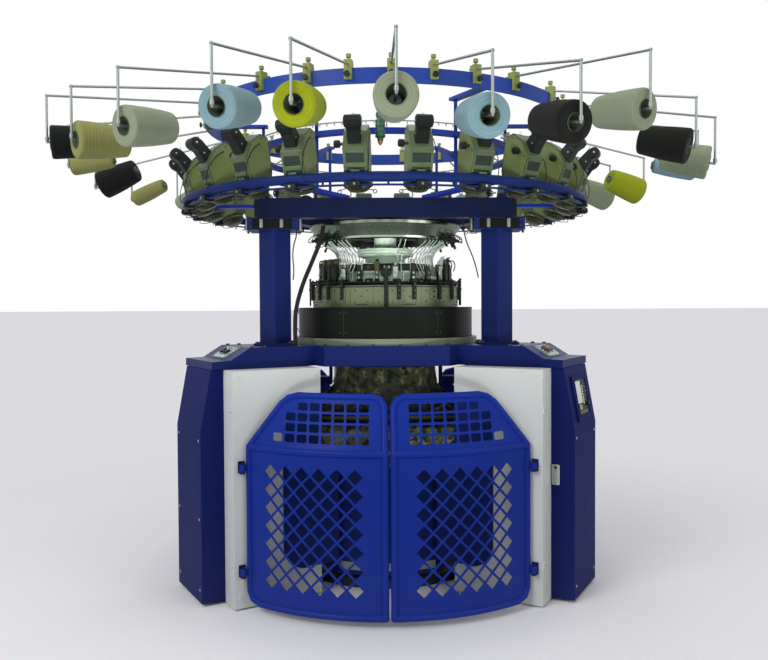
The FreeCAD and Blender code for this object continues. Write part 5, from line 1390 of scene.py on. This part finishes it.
def stand_fasteners():
    """Screws and small blocks on the side covers, screws on the end covers, louvres on the rear leg."""
    stand = Shape()
    cover_screw = [(0.0062, -0.0004), (0.0062, 0.0010), (0.0046, 0.0026), (0.0014, 0.0030), (0, 0.0026)]
    block_screw = [(0.0036, 0), (0.0036, 0.0014), (0.0026, 0.0022), (0, 0.0022)]
    for azimuth in LEGS:
        m = turn(azimuth)
        for side in (1, -1):
            for x, z in ((0.474, 0.050), (0.790, 0.050), (0.474, 0.872), (0.790, 0.872)):
                stand.revolve(cover_screw, m @ place(x, side * SIDE_FACE, z) @ tip(-90 * side, "X"), 3, 14)
            y = side * 0.2450
            for z in (0.163, 0.746):
                stand.box((0.8050, y - 0.0105, z - 0.014), (0.8170, y + 0.0105, z + 0.014), 1, m, 0.0015)
                stand.revolve(block_screw, m @ place(0.8168, y, z) @ FACING_OUT, 0, 12)
        if azimuth != RIGHT_LEG:
            for z in (0.060, 0.330, 0.630):
                for y in (-0.128, 0.128):
                    stand.revolve(END_SCREW, m @ place(LEG_END, y, z) @ FACING_OUT, 0, 14)
    rear = turn(REAR_LEG)
    for k in range(9):
        z = 0.130 + 0.0165 * k
        slat = ((0.9036, z), (0.9092, z + 0.0020), (0.9088, z + 0.0036), (0.9036, z + 0.0082))
        stand.loft([moved(rear, [(x, y, level) for x, level in slat]) for y in (-0.070, 0.070)], None, 2)
    stand.build("stand_fasteners", "machine", [ZINC, PALE_GREY, DEEP_BLUE, PALE_GREY])


def column_head(posts, m):
    """Dark plates and bars on the faces of a column's head, and a round clamp at its sides."""
    for side in (1, -1):
        x, y, bar = side * 0.1040, side * 0.0755, side * 0.0785
        posts.box((x - 0.0016, -0.0600, 1.4560), (x + 0.0016, 0.0600, 1.4940), 2, m, 0.0008)
        posts.box((-0.0800, y - 0.0016, 1.4540), (0.0800, y + 0.0016, 1.4960), 2, m, 0.0008)
        for x in (-0.052, 0.030):
            posts.box((x, bar - 0.0030, 1.4570), (x + 0.014, bar + 0.0030, 1.4930), 1, m, 0.0015)
        x = side * 0.1050
        posts.cylinder((x, -0.022, 1.4480), (x, -0.022, 1.5020), 0.0110, 1, 20, m, 0.002)
        posts.cylinder((x, -0.022, 1.4400), (x, -0.022, 1.5080), 0.0050, 0, 12, m, 0.001)


def column_bolts():
    """Bolts of the columns' feet and heads, and of the bed plate."""
    posts = Shape()
    for azimuth in LEGS:
        foot = at(0.532, azimuth)
        m = place(foot.x, foot.y, 0)
        for x in (-0.066, 0.066):
            for y in (-0.061, 0.061):
                posts.hexbolt((x, y, 0.9899), (0, 0, 1), 0.0085, 0, matrix=m)
        for x in (-0.088, 0.088):
            for z in (1.462, 1.488):
                for side in (-1, 1):
                    posts.socketbolt((x, side * 0.0748, z), (0, side, 0), 0.0052, 0, matrix=m)
        for y in (-0.048, 0.048):
            for x in (-0.072, 0.072):
                posts.hexbolt((x, y, 1.4998), (0, 0, 1), 0.0070, 0, False, matrix=m)
        column_head(posts, m)
    for k in range(24):
        spot = 15 * k + 7.5
        if min(abs((spot - leg + 180) % 360 - 180) for leg in LEGS) > 12:
            posts.socketbolt(at(0.4180, spot, BED_TOP), (0, 0, 1), 0.0062, 0)
    for azimuth in LEGS:
        for x in (0.690, 0.640):
            for y in (-0.140, 0.140):
                posts.hexbolt((x, y, BED_TOP), (0, 0, 1), 0.0078, 0, matrix=turn(azimuth))
    posts.build("column_bolts", "machine", [DARK_STEEL, STEEL, BLACK_PAINT])


def guard_outline():
    """A guard plate's outline, rounded at its outer edge below and above."""
    lower = [(0.520 + 0.092 * math.sin(a), 0.212 - 0.092 * math.cos(a))
             for a in (0.25, 0.5, 0.75, 1.0, 1.25, 1.5)]
    upper = [(0.560 + 0.052 * math.cos(a), 0.7300 + 0.052 * math.sin(a)) for a in (0.4, 0.8, 1.2)]
    inner = [(0.548, 0.7820), (0.452, 0.7820), (0.452, 0.610), (0.375, 0.545)]
    return [(0.375, 0.120), (0.520, 0.120)] + lower + [(0.612, 0.7300)] + upper + inner


def guard_liners():
    """Plates on the side covers, each with a rolled outer edge and its screws, in the guard's darkened blue,
    which is painted shade.
    """
    liner = Shape()
    outline = guard_outline()
    for azimuth in LEGS:
        m = turn(azimuth)
        for side in (1, -1):
            on_side(liner, outline, side, 0.2553, 0.2590, m, 0.0012)
            liner.tube([(x, side * 0.2590, z) for x, z in outline[1:9]], 0.0038, 0, 8, m)
            for x, levels in ((0.470, (0.140, 0.450, 0.762)), (0.596, (0.700, 0.450, 0.250))):
                for z in levels:
                    liner.socketbolt((x, side * 0.2588, z), (0, side, 0), 0.0044, 1, matrix=m)
    liner.build("guard_liners", "machine", [SHADED_GUARD_BLUE, DARK_STEEL])


SLOPE = Matrix.Rotation(math.atan2(48, 80), 4, "Y")
PLATE_FACE = 0.0026
BUTTONS = (("start_button", LEFT_LEG, -0.032, 0.011, 0.005, KNOB, "black_plastic"),
           ("stop_button", LEFT_LEG, 0.032, 0.011, 0.005, KNOB, "black_plastic"),
           ("inch_button", RIGHT_LEG, 0.032, 0.011, 0.005, GREEN, "green_plastic"),
           ("emergency_button", RIGHT_LEG, -0.032, 0.018, 0.012, RED, "red_plastic"))


def on_slope(leg, y=0.0):
    """The middle of a leg's sloping switch plate, or a place to the side of it."""
    return turn(leg) @ place(0.748, 0, 0.956) @ SLOPE @ place(0, y, 0)


def switch_plate(switches, leg):
    """Corner screws, button collars, pilot lamps and the pale strip of one switch plate."""
    m = on_slope(leg)
    for x in (-0.0325, 0.0325):
        for y in (-0.0690, 0.0690):
            switches.socketbolt((x, y, 0.0028), (0, 0, 1), 0.0024, 0, matrix=m)
    for y in (-0.032, 0.032):
        wide = leg == RIGHT_LEG and y < 0
        inner, outer = (0.0194, 0.0208) if wide else (0.0134, 0.0170)
        collar = [(outer, PLATE_FACE), (outer, 0.0038), (outer - 0.0006, 0.0048),
                  (inner, 0.0048), (inner, PLATE_FACE)]
        switches.band(collar, 1, 32, on_slope(leg, y))
    if leg == LEFT_LEG:
        knob = [(0.0145, PLATE_FACE), (0.0145, 0.0045), (0.0105, 0.0055),
                (0.0105, 0.0130), (0.0090, 0.0150), (0, 0.0150)]
        switches.revolve(knob, m, 2, 24)
        switches.slab((-0.0110, 0.0110), 0.0022, (0.0140, 0.0185), 2, m, 0.001)
    else:
        dome = [(0.0110, PLATE_FACE), (0.0110, 0.0046), (0.0085, 0.0060), (0.0040, 0.0072), (0, 0.0074)]
        switches.revolve(dome, m, 4, 20)
    lamp = [(0.0036, PLATE_FACE), (0.0036, 0.0042), (0.0024, 0.0056), (0, 0.0060)]
    for y, paint in ((-0.052, 4), (-0.012, 3), (0.012, 4), (0.052, 3)):
        switches.revolve(lamp, m @ place(-0.026, y, 0), paint, 14)
    switches.slab((0.0215, 0.0295), 0.0600, (0.0027, 0.0033), 5, m, 0.0003)


def switch_parts():
    switches = Shape()
    for leg in (LEFT_LEG, RIGHT_LEG):
        switch_plate(switches, leg)
    paints = [DARK_STEEL, CHROME, KNOB, AMBER, GREEN, PALE_PLASTIC]
    switches.build("switch_parts", "machine", paints)


def button_cap(body, leg, y, radius, height, paint, slot):
    """A shallow dish on a button's top and fine ribs round its edge."""
    button = Shape()
    top = 0.0065 + height
    m = on_slope(leg, y)
    dish = [(radius * 0.72, top - 0.0003), (radius * 0.70, top + 0.0010), (radius * 0.58, top + 0.0012),
            (radius * 0.45, top + 0.0006), (0, top + 0.0002)]
    button.revolve(dish, m, 0, 32)
    for k in range(16):
        rib = m @ turn(22.5 * k)
        button.slab((radius - 0.0004, radius + 0.0007), 0.0008, (0.0075, top - height * 0.35), 0, rib, 0.0003)
    button.build(body + "_cap", body, [paint])


TERMINAL = turn(RIGHT_LEG) @ place(0.904, 0, 0.664) @ Matrix.Rotation(-math.atan2(0.043, 0.234), 4, "Y")
PANEL_FACE = 0.0052


def on_panel(panel, across, up, depth, mat, chamfer=0.0006):
    """A plate on the terminal: from and to, across it, up it and out of it."""
    low, high = zip(depth, across, up)
    panel.box(low, high, mat, TERMINAL, chamfer)


def terminal_keys(panel):
    """A slanting column of keys, a yellow one, the row below and the block of small keys."""
    for k in range(7):
        x, z = 0.0040 + 0.0010 * k, 0.0840 + 0.0110 * k
        on_panel(panel, (x, 0.0150 + 0.0010 * k), (z, 0.0925 + 0.0110 * k), (PANEL_FACE, 0.0092), 1, 0.0010)
    on_panel(panel, (-0.0580, -0.0280), (0.0650, 0.0850), (PANEL_FACE, 0.0098), 3, 0.0014)
    for k in range(6):
        across = (-0.0600 + 0.0180 * k, -0.0460 + 0.0180 * k)
        on_panel(panel, across, (0.0490, 0.0610), (PANEL_FACE, 0.0086), 4, 0.0010)
    for k in range(3):
        for j in range(4):
            across = (0.0300 + 0.0130 * k, 0.0400 + 0.0130 * k)
            up = (0.1120 + 0.0150 * j, 0.1230 + 0.0150 * j)
            on_panel(panel, across, up, (PANEL_FACE, 0.0082), 0 if (k + j) % 3 else 4, 0.0010)


def terminal_parts():
    """The control terminal's dark plate, display, keys, knob, frame and screws."""
    panel = Shape()
    on_panel(panel, (-0.0718, 0.0718), (0.0442, 0.1818), (0.0046, 0.0056), 0)
    on_panel(panel, (-0.0660, -0.0020), (0.0900, 0.1780), (PANEL_FACE, 0.0076), 1)
    on_panel(panel, (-0.0620, -0.0060), (0.0940, 0.1740), (0.0074, 0.0080), 2, 0.0002)
    terminal_keys(panel)
    knob = [(0.0110, 0.0050), (0.0110, 0.0070), (0.0085, 0.0080),
            (0.0080, 0.0160), (0.0065, 0.0175), (0, 0.0175)]
    panel.revolve(knob, TERMINAL @ place(0, 0.048, 0.082) @ FACING_OUT, 0, 24)
    left, right, bottom, top = (-0.0765, -0.0718), (0.0718, 0.0765), (0.0408, 0.0442), (0.1818, 0.1852)
    across, up = (left[0], right[1]), (bottom[0], top[1])
    for frame_bar in ((across, top), (across, bottom), (left, up), (right, up)):
        on_panel(panel, *frame_bar, (0.0070, 0.0095), 5, 0.0008)
    for y in (-0.086, 0.086):
        for z in (0.031, 0.111, 0.191):
            panel.socketbolt((0.0078, y, z), (1, 0, 0), 0.0030, 6, matrix=TERMINAL)
    paints = [BLACK, PALE_PLASTIC, SCREEN_PALE, KEY_YELLOW, KEY_GREEN, DEEP_BLUE, DARK_STEEL]
    panel.build("terminal_parts", "cabinet_door", paints)


def door_screws():
    door = Shape()
    for z in (0.060, 0.630):
        for y in (-0.128, 0.128):
            door.revolve(END_SCREW, turn(RIGHT_LEG) @ place(LEG_END, y, z) @ FACING_OUT, 1, 14)
    door.build("door_screws", "cabinet_door", [DEEP_BLUE, ZINC])


def latch_details():
    """A bright line and a lock on the latch's paddle, wherever the solid has it."""
    latch = Shape()
    leg = turn(RIGHT_LEG)
    node = NODES["cabinet_latch"]
    spots = [turn(-RIGHT_LEG) @ (node.matrix_world @ v.co) for v in node.data.vertices]
    face = min(p.y for p in spots)
    paddle = [p for p in spots if p.y < face + 0.002]
    middle = (min(p.x for p in paddle) + max(p.x for p in paddle)) / 2
    bottom, top = min(p.z for p in paddle), max(p.z for p in paddle)
    low = (middle - 0.0028, face - 0.0016, bottom + 0.010)
    high = (middle + 0.0028, face + 0.0004, top - 0.024)
    latch.box(low, high, 0, leg, 0.0006)
    lock = [(0.0062, -0.0002), (0.0062, 0.0014), (0.0050, 0.0020), (0.0046, 0.0010), (0, 0.0010)]
    latch.revolve(lock, leg @ place(middle, face, top - 0.012) @ FACING_FRONT, 1, 20)
    latch.build("latch_details", "cabinet_latch", [CHROME, DARK_STEEL])


def bearing_cap(parts, wall, y, z, size, side):
    m = place(wall, y, z) @ tip(90 * side, "Y")
    inner, middle = size * 0.62, size * 0.81
    rim = [(inner, -0.0004), (size, -0.0004), (size, 0.0030), (size * 0.9, 0.0044), (inner, 0.0044)]
    parts.band(rim, 0, 32, m)
    for k in range(3):
        a = math.radians(120 * k + 30)
        parts.socketbolt((middle * math.cos(a), middle * math.sin(a), 0.0040), (0, 0, 1), 0.0026, 1, matrix=m)


def takedown_parts():
    """Bearing caps and bolts on the turning frame's walls, screws and pale strips on its guards."""
    parts = Shape()
    guard = 0.430
    for side in (1, -1):
        wall = side * 0.384
        for y, z, size in ((-0.0305, 0.640, 0.022), (0.0305, 0.640, 0.022), (0, 0.300, 0.032)):
            bearing_cap(parts, wall, y, z, size, side)
        for y in (-0.120, 0.120):
            for z in (0.130, 0.420, 0.760):
                parts.hexbolt((wall - side * 0.0002, y, z), (side, 0, 0), 0.0075, 1)
        for x, z in ((0.200, 0.110), (0.286, 0.200), (0.286, 0.345), (0.286, 0.488)):
            for facing in (1, -1):
                outward = Vector((side * x, facing * math.sqrt(guard ** 2 - x * x), 0)).normalized()
                parts.socketbolt(outward * 0.4297 + Vector((0, 0, z)), outward, 0.0046, 1)
    edge = [(0.4296, 0, 0.080), (0.4312, 0, 0.081), (0.4312, 0, 0.111), (0.4296, 0, 0.112)]
    for facing in (90, -90):
        parts.loft([moved(turn(facing - 26.4 + 2.2 * k), edge) for k in range(25)], None, 2)
    parts.build("takedown_parts", "rotor", [CAST, DARK_STEEL, HEAD_GREEN])


def motor_ribs():
    """Cooling ribs, end rings, bolts and the terminal box of the motor in the rear leg."""
    motor = Shape()
    m = place(0, 0.640, 0)
    for k in range(28):
        motor.slab((0.0890, 0.0985), 0.0018, (0.5500, 0.7500), 0, m @ turn(360 * k / 28), 0.0008)
    motor.band([(0.0900, 0.5220), (0.0940, 0.5225), (0.0940, 0.5440), (0.0900, 0.5480)], 0, 40, m)
    motor.band([(0.0900, 0.7560), (0.0945, 0.7600), (0.0945, 0.7960), (0.0900, 0.7990)], 0, 40, m)
    for k in range(4):
        motor.hexbolt(at(0.0800, 90 * k + 45, 0.7998), (0, 0, 1), 0.0055, 1, matrix=m)
    motor.slab((-0.1250, -0.0900), 0.0350, (0.6000, 0.6900), 0, m, 0.004)
    for y in (-0.028, 0.028):
        for z in (0.608, 0.682):
            motor.socketbolt((-0.1248, y, z), (-1, 0, 0), 0.0032, 1, matrix=m)
    motor.build("motor_ribs", "machine", [MOTOR_PAINT, DARK_STEEL])


def guide_eyelets():
    top = Shape()
    eye = 0.0048
    ring = [(eye * math.cos(a), 0, -0.0062 + eye * math.sin(a)) for a in around(10)]
    for k in range(120):
        m = turn(3 * k + 1.5) @ place(0.590, 0, 1.830)
        top.tube(moved(m, ring), 0.0011, 0, 5, closed=True)
    top.build("guide_eyelets", "machine", [ZINC])


def clamp_screws():
    """A clamping knob and a top screw on each clamp of the creel, and the joints of its bent arm."""
    clamps = Shape()
    knob = [(0.0095, 0.0), (0.0110, 0.0012), (0.0110, 0.0068), (0.0095, 0.0080), (0, 0.0080)]
    screw = [(0.0042, 0), (0.0042, 0.0040), (0.0030, 0.0052), (0, 0.0052)]
    axis = 1.9420
    for spot, swing, rise, reach, tilt, hue, large in CREEL:
        m = turn(spot - 90) @ place(CREEL_RADIUS, 0, 0)
        clamps.cylinder((0.010, 0, axis), (0.028, 0, axis), 0.0040, 1, 12, m, 0.0008)
        clamps.revolve(knob, m @ place(0.0265, 0, axis) @ FACING_OUT, 0, 18)
        clamps.revolve(screw, m @ place(0, 0, 1.9955), 1, 12)
        corner = arm_corner(spot, swing, rise, reach)
        clamps.ball(corner, 0.0062, 2, 12)
        lower, upper = corner - Vector((0, 0, 0.176)), corner - Vector((0, 0, 0.160))
        clamps.cylinder(lower, upper, 0.0072, 2, 12, None, 0.001)
    clamps.build("clamp_screws", "machine", [BLACK, STEEL, ARM_STEEL])


def spoke_bolts():
    spokes = Shape()
    for azimuth in (0, 60, 120, 180, 240, 300):
        for radius in (0.345, 0.520, 0.560, 0.800):
            spokes.hexbolt((radius, 0, 1.5938), (0, 0, 1), 0.0072, 0, matrix=turn(azimuth))
    spokes.build("spoke_bolts", "machine", [DARK_STEEL])


def lamp_collars():
    """Collars between the warning lamp's lenses, and the copper tip below it."""
    lamp = Shape()
    spot = at(CREEL_RADIUS, -91.9)
    m = place(spot.x, spot.y, 0)
    for r, z in ((0.0170, 1.7310), (0.0170, 1.7450), (0.0170, 1.7670), (0.0170, 1.7810), (0.0150, 1.8040)):
        collar = [(r - 0.0002, z - 0.0030), (r + 0.0010, z - 0.0022), (r + 0.0014, z),
                  (r + 0.0010, z + 0.0022), (r - 0.0002, z + 0.0030)]
        lamp.band(collar, 0, 28, m)
    tip_outline = [(0, 1.6975), (0.0030, 1.6990), (0.0085, 1.7080), (0.0098, 1.7130), (0.0080, 1.7160)]
    lamp.revolve(tip_outline, m, 1, 24)
    lamp.build("lamp_collars", "machine", [LENS, COPPER])


stand_fasteners()
column_bolts()
guard_liners()
switch_parts()
for button in BUTTONS:
    button_cap(*button)
terminal_parts()
door_screws()
latch_details()
takedown_parts()
motor_ribs()
guide_eyelets()
clamp_screws()
spoke_bolts()
lamp_collars()

bpy.context.scene.view_settings.view_transform = "Standard"
